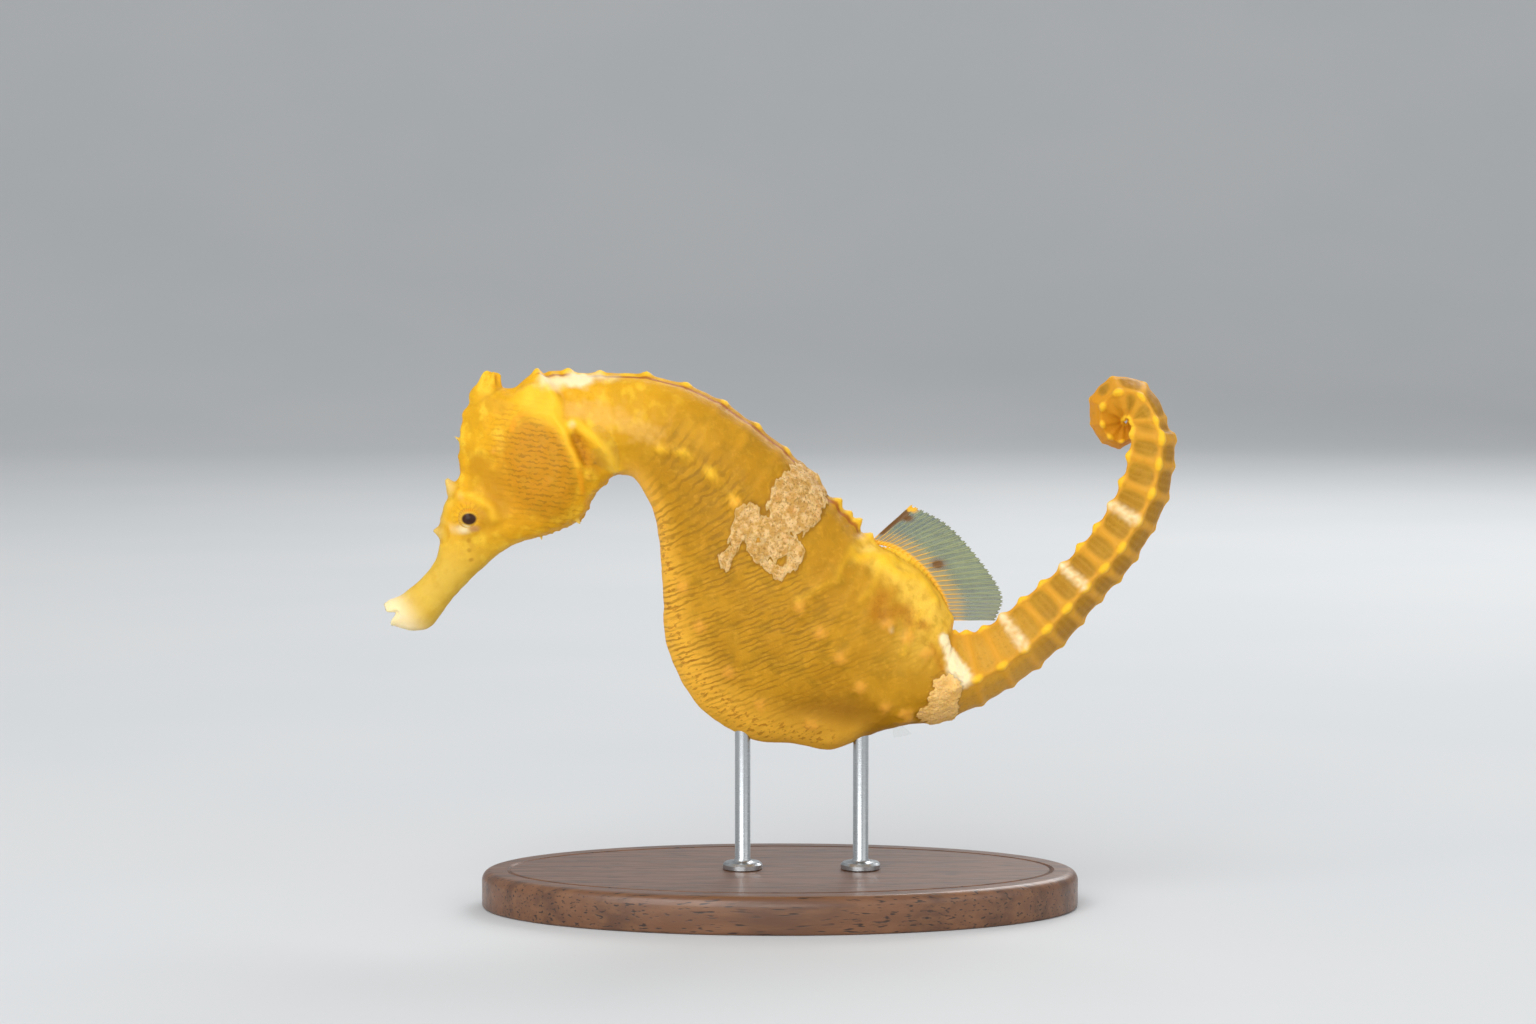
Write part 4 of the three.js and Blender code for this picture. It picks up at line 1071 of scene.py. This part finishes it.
def fin_material(settings, name, cover):
    """Clear fin skin on bony rays: the film lets the backdrop through and the rays catch the light."""
    paint = Paint(name, {"Roughness": 0.35, "IOR": 1.4, "Specular IOR Level": 0.35})
    mask, product = paint.mask, paint.product
    ray = mask("ray", 0.25, 0.75)
    fibres = paint.grain(0.5, 0.35, 0.7, place=paint.stretched((4, 1, 0.7)))
    paint.feed("Base Color", paint.coats(
        settings.film,
        (paint.grain(3.5, 0.35, 0.65, 0.5), "#7B8450"),
        (mask("front", 0, 1, 0.7), "#5C6C64"),
        (mask("rear", 0, 1, 0.6), "#7C827C"),
        (product(fibres, 0.5), "#8A9668"),
        (product(ray, 0.5), settings.rays),
        (mask("root", 0.1, 0.9), "#F0B42C"),
        (mask("stain", 0.1, 0.9, 0.9), "#6E4416"),
        (mask("tip", 0.1, 0.9), "#E8AE22"),
    ))
    alpha = paint.math("ADD", product(ray, 0.2 * cover), cover)
    for mark in ("root", "stain", "tip"):
        alpha = paint.math("MAXIMUM", alpha, mask(mark, 0, 1, 0.95))
    paint.feed("Alpha", alpha)
    return paint.material


def walnut_material(settings):
    """Turned walnut under satin lacquer: long dark grain, short pores and a low sheen."""
    paint = Paint("Satin Walnut", {"IOR": 1.5, "Coat Weight": 0.35, "Coat Roughness": 0.22, "Coat IOR": 1.5})
    long_grain = paint.stretched((9, 1, 1.5))
    across_grain = paint.stretched((7, 1, 1), (0, 0, math.radians(90)))
    pores = paint.grain(0.35, 0.58, 0.7, place=paint.stretched((14, 1, 1)), detail=1)
    paint.feed("Base Color", paint.coats(
        settings.walnut,
        (paint.lines(across_grain, 5.0, 6.0, 0.8, 0.4, 0.95, 0.6), "#4A2D1B"),
        (paint.grain(1.1, 0.4, 0.7, 0.55, long_grain, 4), "#7F5636"),
        (pores, settings.grain),
    ))
    paint.roughen(paint.grain(0.8, 0.2, 0.8, place=long_grain), 0.34, 0.5)
    paint.emboss((pores, 0.5, 0.04, True))
    return paint.material


def steel_material():
    """Stainless rod, turned and finely brushed round its axis: soft bright streaks along its height."""
    paint = Paint("Brushed Steel", {"Metallic": 1.0})
    rings = paint.grain(0.5, 0.2, 0.8, place=paint.stretched((3, 3, 0.12)), detail=3)
    paint.feed("Base Color", paint.coats("#B9BCBE", (paint.product(rings, 0.35), "#8E9295")))
    paint.roughen(rings, 0.24, 0.36)
    paint.emboss((rings, 0.2, 0.02, False))
    return paint.material


def paper_material(settings):
    """Matt studio paper: a faint tooth and next to no shine."""
    paint = Paint("Studio Paper", {"Roughness": 0.9, "Specular IOR Level": 0.2})
    paint.feed("Base Color", paint.coats(settings.paper, (paint.grain(160, 0.3, 0.7, 0.12), "#E2E0DB")))
    paint.emboss((paint.grain(0.8, 0.3, 0.7), 0.15, 0.05, False))
    return paint.material


# ---------------------------------------------------------------- pieces that grow out of the skin

CORONET = (-46.6, 82.9)
CORONET_LEAN = math.radians(11)
CORONET_POINTS = 5
CORONET_BREADTH = (1.75, 3.2)  # half its breadth at the top and at the foot
CORONET_HEIGHT = 3.2  # half its height, foot included
CORONET_POINT = 0.8
# Spines of the head: base and tip as (x, y, z), thickness at the base, and True for one on each side.
SPINES = (
    ((-52.9, 0, 60.4), (-55.7, 0, 60.8), 3.6, False),
    ((-51.8, 0.8, 66.8), (-53.5, 1.0, 69.2), 2.3, True),
    ((-33.6, 1.4, 64.2), (-31.6, 2.0, 61.6), 1.8, True),
    ((-50.6, 0.0, 74.9), (-52.0, 0.0, 75.8), 0.8, False),
    ((-36.6, 0.8, 61.2), (-36.2, 1.1, 60.3), 0.5, True),
    ((-38.3, 0.5, 60.1), (-38.1, 0.7, 59.2), 0.45, True),
)
# Marks of the pieces that grow out of the skin, and those of any point far from the eye, gills and growths.
CORONET_MARKS = {"head": 1, "bright": 0.35, "part": 1}
SPINE_MARKS = {"head": 1, "snout": 0.8, "bright": 0.15, "pale": 0.38, "part": 1}
MOUND_MARKS = {"bright": 1, "gold": 1, "part": 1}
FAR_MARKS = {"gill": -20, "eye": 20, "growth": -5, "cell": -5}
MOUND_DEPTH = 5.6
MOUND_HALF_WIDTH = (2.3, 1.1)
MOUND_FRINGE = 1.5
INWARD = np.array((-0.62, 0, -0.78))


def coronet():
    """The low crown on the head: a stump with five blunt points."""
    rows, sides = 34, 60

    def place(row, side):
        height = np.cos(np.pi * row / rows)
        turn = 2 * np.pi * side / sides
        crown = step_up(height, 0.1, 0.8)
        lobe = np.cos(CORONET_POINTS * turn)
        across = np.power(np.clip(1 - height * height, 0, 1), 0.32) * spread(
            CORONET_BREADTH, step_up(-height, -0.75, 0.6))
        across = across * (1 + 0.16 * crown * lobe)
        lift = CORONET_HEIGHT * height + CORONET_POINT * crown * lobe * np.sin(np.pi * row / rows)
        x = across * np.cos(turn)
        leaning = x * math.cos(CORONET_LEAN) + lift * math.sin(CORONET_LEAN)
        rising = lift * math.cos(CORONET_LEAN) - x * math.sin(CORONET_LEAN)
        return np.stack((CORONET[0] + leaning, 0.75 * across * np.sin(turn), CORONET[1] + rising), axis=-1)

    return wrapped("coronet", rows, sides, place)[0]


def spine(base, tip, thick):
    """A blunt thorn whose foot is sunk in the head."""
    rows, sides = 16, 14
    axis = Vector(tip) - Vector(base)
    turned = np.array(axis.to_track_quat("Z", "Y").to_matrix())

    def place(row, side):
        share = row / rows
        across = thick * np.power(np.sin(np.pi * share), 0.5) * np.power(share, 0.7)
        along = axis.length * (1.02 - 1.35 * np.power(share, 0.9))
        turn = 2 * np.pi * side / sides
        local = np.stack((across * np.cos(turn), across * np.sin(turn), along), axis=-1)
        return local @ turned.T + np.array(base)

    return wrapped("spine", rows, sides, place)[0]


def fin_mound():
    """The fleshy ridge under the dorsal fin, fringed where each ray leaves it."""
    rows, sides = (DORSAL_RAYS - 1) * 6, 26
    root = [(x, 0, z) for x, z in DORSAL_ROOT]
    edge = [(x, 0, z) for x, z in DORSAL_EDGE]

    def place(row, side):
        share = row / rows
        turn = 2 * np.pi * side / sides
        at = share * (len(root) - 1)
        foot = through(root, at) + INWARD * 0.5
        ray = through(edge, at) - foot
        ray = ray / np.linalg.norm(ray, axis=1, keepdims=True)
        size = np.power(np.sin(np.pi * share), 0.3)
        outer = (1 + np.cos(turn)) / 2
        width = spread(MOUND_HALF_WIDTH, outer) * size
        fringe = np.power(0.5 + 0.5 * np.cos(2 * np.pi * share * (DORSAL_RAYS - 1)), 1.5)
        points = foot + INWARD * (MOUND_DEPTH / 2 * (1 - np.cos(turn) * size))[:, None]
        points += ray * (MOUND_FRINGE * fringe * np.power(outer, 7) * size)[:, None]
        points[:, 1] = np.sin(turn) * width * (1 + 0.1 * (fringe - 0.5) * outer)
        return points

    return wrapped("fin_mound", rows, sides, place)[0]


def give_marks(piece, marks, values):
    """Stores the skin's marks on a piece that grows out of it."""
    count = len(piece.data.vertices)
    for name, grid in marks.items():
        if grid.ndim > 2:
            store(piece, name, np.zeros((count, 3)))
        else:
            store(piece, name, np.full(count, values.get(name, FAR_MARKS.get(name, 0))))


def soften_joins(piece, names, reach=4, passes=10):
    """Rounds the joins between the skin and what grows out of it, in shape and in marks."""
    edges = np.empty(len(piece.data.edges) * 2, np.int32)
    piece.data.edges.foreach_get("vertices", edges)
    a, b = edges.reshape(-1, 2).T
    part = stored(piece, "part")
    near = np.zeros(len(part), bool)
    crossing = np.abs(part[a] - part[b]) > 0.01
    near[a[crossing]] = True
    near[b[crossing]] = True
    for _ in range(reach):
        spread = near[a] | near[b]
        near[a[spread]] = True
        near[b[spread]] = True
    neighbours = np.bincount(a, minlength=len(part)) + np.bincount(b, minlength=len(part))
    points = points_of(piece)
    columns = [points[:, axis] for axis in range(3)] + [stored(piece, name) for name in names]
    for number, column in enumerate(columns):
        values = column.astype(float)
        for _ in range(passes):
            total = np.bincount(a, values[b], len(part)) + np.bincount(b, values[a], len(part))
            values = np.where(near, 0.45 * values + 0.55 * total / np.maximum(neighbours, 1), values)
        if number < 3:
            points[:, number] = values
        else:
            piece.data.attributes[names[number - 3]].data.foreach_set("value", values.astype(np.float32))
    move_points(piece, points)


FLESH = ("upper_lip", "lower_jaw", "snout", "head", "gill_cover_left", "gill_cover_right", "coronet", "neck",
         "chest", "belly", "loin", "tail_root", "tail_low", "tail_middle", "tail_high", "tail_bend",
         "tail_curl", "tail_tip", "dorsal_fin_root")


class SEAHORSE_OT_skin(bpy.types.Operator):
    """Builds the one skin that covers the head, trunk and tail"""

    bl_idname = "seahorse.skin"
    bl_label = "Skin"

    def execute(self, context):
        settings = context.scene.seahorse_skin
        skin = Skin()
        marks = shape_skin(skin, settings)
        piece, row, side = wrapped("skin", Skin.ROWS, Skin.SIDES, lambda row, side: skin.points[row, side])
        for name, grid in marks.items():
            store(piece, name, (grid + np.zeros(skin.x.shape + (1,) * (grid.ndim - 2)))[row, side])
        grown = [(coronet(), CORONET_MARKS)]
        for base, tip, thick, pair in SPINES:
            for flank in (-1, 1) if pair else (1,):
                mirror = np.array((1, flank, 1))
                grown.append((spine(base * mirror, tip * mirror, thick), SPINE_MARKS))
        grown.append((fin_mound(), MOUND_MARKS))
        for extra, values in grown:
            give_marks(extra, marks, values)
            apply_modifier(piece, "BOOLEAN", operation="UNION", solver="MANIFOLD", object=extra)
            bpy.data.objects.remove(extra)
        soften_joins(piece, [name for name, grid in marks.items() if grid.ndim == 2 and name != "part"])
        smooth(piece)
        finish_piece(piece, skin_material(settings), "skin", *FLESH)
        return {"FINISHED"}


class SEAHORSE_OT_eyes(bpy.types.Operator):
    """Builds both eyes, each a gold ball with a dark pupil under a clear cornea"""

    bl_idname = "seahorse.eyes"
    bl_label = "Eyes"

    def execute(self, context):
        material = eye_material(context.scene.seahorse_eye)
        for name, flank in (("left", -1), ("right", 1)):
            rows, sides = 48, 72

            def place(row, side):
                polar = np.pi * row / rows
                turn = 2 * np.pi * side / sides
                radius = EYE_RADIUS * (1 + 0.05 * bump(polar / 0.55))
                out = radius * np.sin(polar)
                height = EYE[1] + radius * np.cos(polar)
                x = EYE[0] + out * np.cos(turn)
                z = EYE[2] + out * np.sin(turn)
                return np.stack((x, flank * height, z), axis=-1)

            piece, row, side = wrapped("eye_ball_" + name, rows, sides, place)
            points = points_of(piece)
            across = points[:, 0] - EYE[0]
            up = points[:, 2] - EYE[2]
            out = np.where(row > rows / 2, 2 * EYE_RADIUS, np.hypot(across * 0.9, up * 1.14))
            round_pupil = np.arctan2(up, across)
            store(piece, "iris", np.stack((np.abs(round_pupil), out, 0 * up), axis=-1))
            store(piece, "out", out)
            store(piece, "arc", bump((out - 1.55) / 0.3) * bump((round_pupil - 1.7) / 0.7))
            store(piece, "crescent", bump((out - 1.4) / 0.3) * bump((round_pupil + 1.9) / 0.7))
            store(piece, "blush", bump((out - 1.5) / 0.35) * bump((round_pupil + 0.75) / 0.55))
            finish_piece(piece, material, "eye", "eye_" + name)
        return {"FINISHED"}


# ---------------------------------------------------------------- fins


def ray_lines(u, v, rays):
    """1 on a ray and 0 between rays; each ray forks towards the margin."""
    off = np.abs(u * (rays - 1) - np.rint(u * (rays - 1)))
    return bump((off - 0.16 * step_up(v, 0.35, 0.9)) / 0.11)


def fan(name, rays, columns, rows, sheet, settings):
    """A thin fin from sheet(u, v), u across its rays and v out along them; rays stand out on both faces."""
    deselect()
    bpy.ops.mesh.primitive_grid_add(x_subdivisions=columns, y_subdivisions=rows, size=2)
    piece = named(name)
    flat = points_of(piece) * MM
    u = (flat[:, 0] + 1) / 2
    v = (flat[:, 1] + 1) / 2
    ragged = v * (1 - 0.035 * (1 - ray_lines(u, v, rays)) * v)
    move_points(piece, sheet(u, ragged))
    store(piece, "u", u)
    store(piece, "v", v)
    apply_modifier(piece, "SOLIDIFY", thickness=settings.membrane, offset=0)
    face_out(piece)
    u = stored(piece, "u").astype(float)
    v = stored(piece, "v").astype(float)
    on_ray = ray_lines(u, v, rays)
    normals = np.empty(len(u) * 3, np.float32)
    piece.data.vertices.foreach_get("normal", normals)
    swell = (settings.ray - settings.membrane) / MM / 2 * on_ray * (1 - 0.65 * v)
    move_points(piece, points_of(piece) + normals.reshape(-1, 3) * swell[:, None])
    store(piece, "ray", on_ray)
    smooth(piece)
    return piece, u, v


# Stains of the dorsal fin: x, z, half length, half height and strength.
DORSAL_STAINS = ((20.4, 62.7, 1.2, 0.7, 1), (25.3, 55.3, 1.5, 1.1, 0.95))
DORSAL_WAVE = 0.35
# How much of what lies behind the membrane it hides.
DORSAL_COVER = 0.62
SMALL_COVER = 0.04


class SEAHORSE_OT_dorsal_fin(bpy.types.Operator):
    """Builds the dorsal fin, a clear fan of fine rays"""

    bl_idname = "seahorse.dorsal_fin"
    bl_label = "Dorsal Fin"

    def execute(self, context):
        settings = context.scene.seahorse_fin
        root = [(x, 0, z) for x, z in DORSAL_ROOT]
        edge = [(x, 0, z) for x, z in DORSAL_EDGE]

        def sheet(u, v):
            at = u * (len(root) - 1)
            foot = through(root, at) + INWARD * 0.7
            points = foot + (through(edge, at) - foot) * v[:, None]
            points[:, 1] = DORSAL_WAVE * v * np.sin(2 * np.pi * (1.6 * u - 0.4 * v))
            return points

        piece, u, v = fan("dorsal_fan", DORSAL_RAYS, (DORSAL_RAYS - 1) * 12, 30, sheet, settings)
        points = points_of(piece)
        stain = (1 - step_up(u, 0.02, 0.045)) * step_up(v, 0.15, 0.3)
        for x, z, long, high, strength in DORSAL_STAINS:
            stain = stain + strength * bump(np.hypot((points[:, 0] - x) / long, (points[:, 2] - z) / high))
        flames = np.maximum(stored(piece, "ray"), 0.35) * (1 - step_up(v, 0.2, 0.6))
        store(piece, "root", np.maximum(1 - step_up(v, 0.06, 0.16), flames))
        store(piece, "front", 1 - step_up(u, 0.08, 0.4))
        store(piece, "rear", step_up(u, 0.55, 0.9))
        store(piece, "stain", np.clip(stain, 0, 1))
        store(piece, "tip", (1 - step_up(u, 0.03, 0.09)) * step_up(v, 0.84, 0.93))
        finish_piece(piece, fin_material(settings, "Fin Film", DORSAL_COVER), "fin", "dorsal_fin")
        return {"FINISHED"}


PECTORAL_ROOT = np.array(((-32.4, 76.2), (-29.7, 72.0)))
PECTORAL_SIDE = 4.3
PECTORAL_RAYS = 15
PECTORAL_REACH = 5.6
PECTORAL_TURN = np.radians((26, -30))
ANAL_ROOT = (19.0, 29.0)
ANAL_RAYS = 4
ANAL_LENGTH = 1.8
ANAL_REACH = 1.7
ANAL_TURN = np.radians((-85, -40))


class SEAHORSE_OT_small_fins(bpy.types.Operator):
    """Builds the pectoral fins behind the gill covers and the anal fin under the vent"""

    bl_idname = "seahorse.small_fins"
    bl_label = "Pectoral and Anal Fins"

    def execute(self, context):
        settings = context.scene.seahorse_fin
        material = fin_material(settings, "Small Fin Film", SMALL_COVER)
        for name, flank in (("left", -1), ("right", 1)):

            def sheet(u, v):
                angle = spread(PECTORAL_TURN, u)
                reach = v * PECTORAL_REACH * (1 - 0.25 * (2 * u - 1) ** 2)
                x = spread(PECTORAL_ROOT[:, 0], u) + reach * np.cos(angle)
                z = spread(PECTORAL_ROOT[:, 1], u) + reach * np.sin(angle)
                beside = PECTORAL_SIDE + 0.42 * reach + 0.25 * v * np.sin(2 * np.pi * u * 2)
                return np.stack((x, flank * beside, z), axis=-1)

            columns = (PECTORAL_RAYS - 1) * 6
            piece, u, v = fan("pectoral_fan_" + name, PECTORAL_RAYS, columns, 16, sheet, settings)
            store(piece, "root", 0.3 * (1 - step_up(v, 0.05, 0.25)))
            finish_piece(piece, material, "fin", "pectoral_fin_" + name)

        def keel(u, v):
            angle = spread(ANAL_TURN, u)
            reach = v * ANAL_REACH - (1 - v)
            x = ANAL_ROOT[0] + ANAL_LENGTH * (u - 0.5) + reach * np.cos(angle)
            z = ANAL_ROOT[1] + reach * np.sin(angle)
            return np.stack((x, 0 * x, z), axis=-1)

        piece, u, v = fan("anal_fan", ANAL_RAYS, 24, 8, keel, settings)
        store(piece, "root", 0.15 * (1 - step_up(v, 0.1, 0.6)))
        finish_piece(piece, material, "fin", "anal_fin")
        return {"FINISHED"}


# ---------------------------------------------------------------- stand


def select_where(piece, kind, test):
    """In edit mode, selects the vertices, edges or faces whose middle passes the test."""
    bpy.ops.mesh.select_all(action="DESELECT")
    bpy.ops.mesh.select_mode(type=kind)
    bpy.ops.object.mode_set(mode="OBJECT")
    mesh = piece.data
    if kind == "FACE":
        for face in mesh.polygons:
            face.select = test(face.center)
    elif kind == "EDGE":
        for edge in mesh.edges:
            edge.select = all(test(mesh.vertices[end].co) for end in edge.vertices)
    bpy.ops.object.mode_set(mode="EDIT")


BASE_FOOT_EDGE = 0.5 * MM
GROOVE_INSET = 2.2 * MM
GROOVE_DEPTH = 0.45 * MM
GROOVE_SLOPE = 0.4 * MM


class SEAHORSE_OT_stand_base(bpy.types.Operator):
    """Builds the oval wooden base, with a rounded edge and a fine groove round its top"""

    bl_idname = "seahorse.stand_base"
    bl_label = "Stand Base"

    def execute(self, context):
        settings = context.scene.seahorse_stand
        low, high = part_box("stand_base")
        deselect()
        height = high.z - low.z
        middle = (0, 0, low.z + height / 2)
        bpy.ops.mesh.primitive_cylinder_add(vertices=180, radius=1, depth=height, location=middle)
        piece = named("base")
        bpy.ops.object.transform_apply(location=True, rotation=False, scale=False)
        bpy.ops.object.mode_set(mode="EDIT")
        halves = ((high.x - low.x) / 2, (high.y - low.y) / 2, 1)
        bpy.ops.transform.resize(value=halves, center_override=(0, 0, 0))
        select_where(piece, "EDGE", lambda co: co.z > high.z - 1e-5)
        bpy.ops.mesh.bevel(offset=settings.edge, segments=8, affect="EDGES")
        select_where(piece, "EDGE", lambda co: co.z < low.z + 1e-5)
        bpy.ops.mesh.bevel(offset=BASE_FOOT_EDGE, segments=3, affect="EDGES")
        select_where(piece, "FACE", lambda co: co.z > high.z - 1e-5)
        bpy.ops.mesh.inset(thickness=GROOVE_INSET)
        for depth in (-GROOVE_DEPTH, GROOVE_DEPTH):
            bpy.ops.mesh.inset(thickness=GROOVE_SLOPE, depth=depth)
        bpy.ops.object.mode_set(mode="OBJECT")
        activate(piece)
        bpy.ops.object.shade_smooth_by_angle(angle=math.radians(30))
        finish_piece(piece, walnut_material(settings), "wood", "stand_base")
        return {"FINISHED"}


# Outline of a rod from the floor of its foot up, as (radius, height): the foot's radii count from its rim.
ROD_FOOT = ((-0.15, 0), (0, 0.15), (0, 0.8), (-0.35, 1.15))
ROD_NECK = ((1.75, 1.2), (1.4, 1.4), (1.25, 1.8))
ROD_SUNK = 0.5 * MM  # how far a rod runs on into the belly


class SEAHORSE_OT_stand_rods(bpy.types.Operator):
    """Turns the two steel rods, each on a round foot, up to the belly"""

    bl_idname = "seahorse.stand_rods"
    bl_label = "Stand Rods"

    def execute(self, context):
        material = steel_material()
        for name in ("front", "rear"):
            low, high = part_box("stand_rod_" + name)
            middle = (low.x + high.x) / 2
            foot = (high.x - low.x) / 2
            profile = [(foot + wide * MM, up * MM) for wide, up in ROD_FOOT]
            profile += [(wide * MM, up * MM) for wide, up in ROD_NECK]
            profile.append((profile[-1][0], high.z - low.z + ROD_SUNK))
            deselect()
            radius, rise = profile[0]
            bpy.ops.mesh.primitive_circle_add(vertices=48, radius=radius, fill_type="NGON",
                                              location=(middle, 0, low.z))
            piece = named("rod_" + name)
            bpy.ops.object.transform_apply(location=True, rotation=False, scale=False)
            bpy.ops.object.mode_set(mode="EDIT")
            bpy.ops.mesh.select_mode(type="FACE")
            bpy.ops.mesh.select_all(action="SELECT")
            for wide, up in profile[1:]:
                bpy.ops.mesh.extrude_region_move(TRANSFORM_OT_translate={"value": (0, 0, up - rise)})
                share = wide / radius
                bpy.ops.transform.resize(value=(share, share, 1), center_override=(middle, 0, low.z + up))
                radius, rise = wide, up
            bpy.ops.object.mode_set(mode="OBJECT")
            face_out(piece)
            bpy.ops.object.shade_smooth_by_angle(angle=math.radians(40))
            finish_piece(piece, material, "steel", "stand_rod_" + name)
        return {"FINISHED"}


# ---------------------------------------------------------------- studio

VIEW_TARGET = Vector((-1.92, 0, 63.68)) * MM
VIEW_DISTANCE = 0.6
VIEW_ELEVATION = math.radians(4.5)
LENS = 87.89
SENSOR = 36
SKY = "#F4F6F8"
SKY_POWER = 0.58
# Soft lights: name, place in metres, size in metres and power as a share of the key light.
LIGHTS = (
    ("key", (-0.45, -0.75, 0.95), 0.7, 1.0),
    ("fill", (0.8, -0.6, 0.45), 0.9, 0.35),
    ("rim", (0.35, 0.75, 0.7), 0.6, 0.85),
    ("low", (-0.25, -0.8, 0.1), 0.8, 1.0),
)


def aim(piece, target):
    """Turns a light or camera to face a point."""
    piece.rotation_euler = (target - piece.location).to_track_quat("-Z", "Y").to_euler()


class SEAHORSE_OT_stage(bpy.types.Operator):
    """Sets the floor and backdrop, the soft lights and the camera"""

    bl_idname = "seahorse.stage"
    bl_label = "Stage"

    def execute(self, context):
        settings = context.scene.seahorse_stage
        half = settings.floor / 2
        deselect()
        bpy.ops.mesh.primitive_plane_add(size=settings.floor)
        floor = named("floor")
        bpy.ops.object.mode_set(mode="EDIT")
        select_where(floor, "EDGE", lambda co: co.y > half - 1e-4)
        bpy.ops.mesh.extrude_region_move(TRANSFORM_OT_translate={"value": (0, 0, half)})
        select_where(floor, "EDGE", lambda co: co.y > half - 1e-4 and co.z < 1e-4)
        bpy.ops.mesh.bevel(offset=half * 0.4, segments=24, affect="EDGES")
        bpy.ops.object.mode_set(mode="OBJECT")
        floor.data.materials.append(paper_material(settings))
        smooth(floor)
        for name, place, size, share in LIGHTS:
            bpy.ops.object.light_add(type="AREA", location=place)
            light = named(name)
            light.data.size = size
            light.data.energy = settings.key * share
            aim(light, VIEW_TARGET)
        world = context.scene.world or bpy.data.worlds.new("Studio")
        context.scene.world = world
        world.use_nodes = True
        world.node_tree.nodes.clear()
        sky = add_node(world.node_tree, "ShaderNodeBackground", {"Color": rgba(SKY), "Strength": SKY_POWER})
        out = add_node(world.node_tree, "ShaderNodeOutputWorld")
        world.node_tree.links.new(sky.outputs["Background"], out.inputs["Surface"])
        away = Vector((0, -math.cos(VIEW_ELEVATION), math.sin(VIEW_ELEVATION))) * VIEW_DISTANCE
        bpy.ops.object.camera_add(location=VIEW_TARGET + away)
        camera = named("camera")
        camera.data.lens = LENS
        camera.data.sensor_width = SENSOR
        camera.data.clip_start = 0.01
        aim(camera, VIEW_TARGET)
        context.scene.camera = camera
        context.scene.view_settings.view_transform = "Standard"
        return {"FINISHED"}


# ---------------------------------------------------------------- panel and start

OPERATORS = (SEAHORSE_OT_stage, SEAHORSE_OT_skin, SEAHORSE_OT_eyes, SEAHORSE_OT_dorsal_fin,
             SEAHORSE_OT_small_fins, SEAHORSE_OT_stand_base, SEAHORSE_OT_stand_rods)


class SEAHORSE_PT_panel(bpy.types.Panel):
    """Lists the settings and the steps that build the model"""

    bl_idname = "SEAHORSE_PT_panel"
    bl_label = "Seahorse"
    bl_space_type = "VIEW_3D"
    bl_region_type = "UI"
    bl_category = "Seahorse"

    def draw(self, context):
        for name, group in GROUPS.items():
            box = self.layout.box()
            for setting in group.__annotations__:
                box.prop(getattr(context.scene, name), setting)
        for operator in OPERATORS:
            self.layout.operator(operator.bl_idname)


def register():
    for name, group in GROUPS.items():
        bpy.utils.register_class(group)
        setattr(bpy.types.Scene, name, PointerProperty(type=group))
    for operator in OPERATORS:
        bpy.utils.register_class(operator)
    bpy.utils.register_class(SEAHORSE_PT_panel)


def unregister():
    bpy.utils.unregister_class(SEAHORSE_PT_panel)
    for operator in reversed(OPERATORS):
        bpy.utils.unregister_class(operator)
    for name, group in reversed(GROUPS.items()):
        delattr(bpy.types.Scene, name)
        bpy.utils.unregister_class(group)


def main():
    register()
    for operator in OPERATORS:
        family, step = operator.bl_idname.split(".")
        getattr(getattr(bpy.ops, family), step)()


if __name__ == "__main__":
    main()
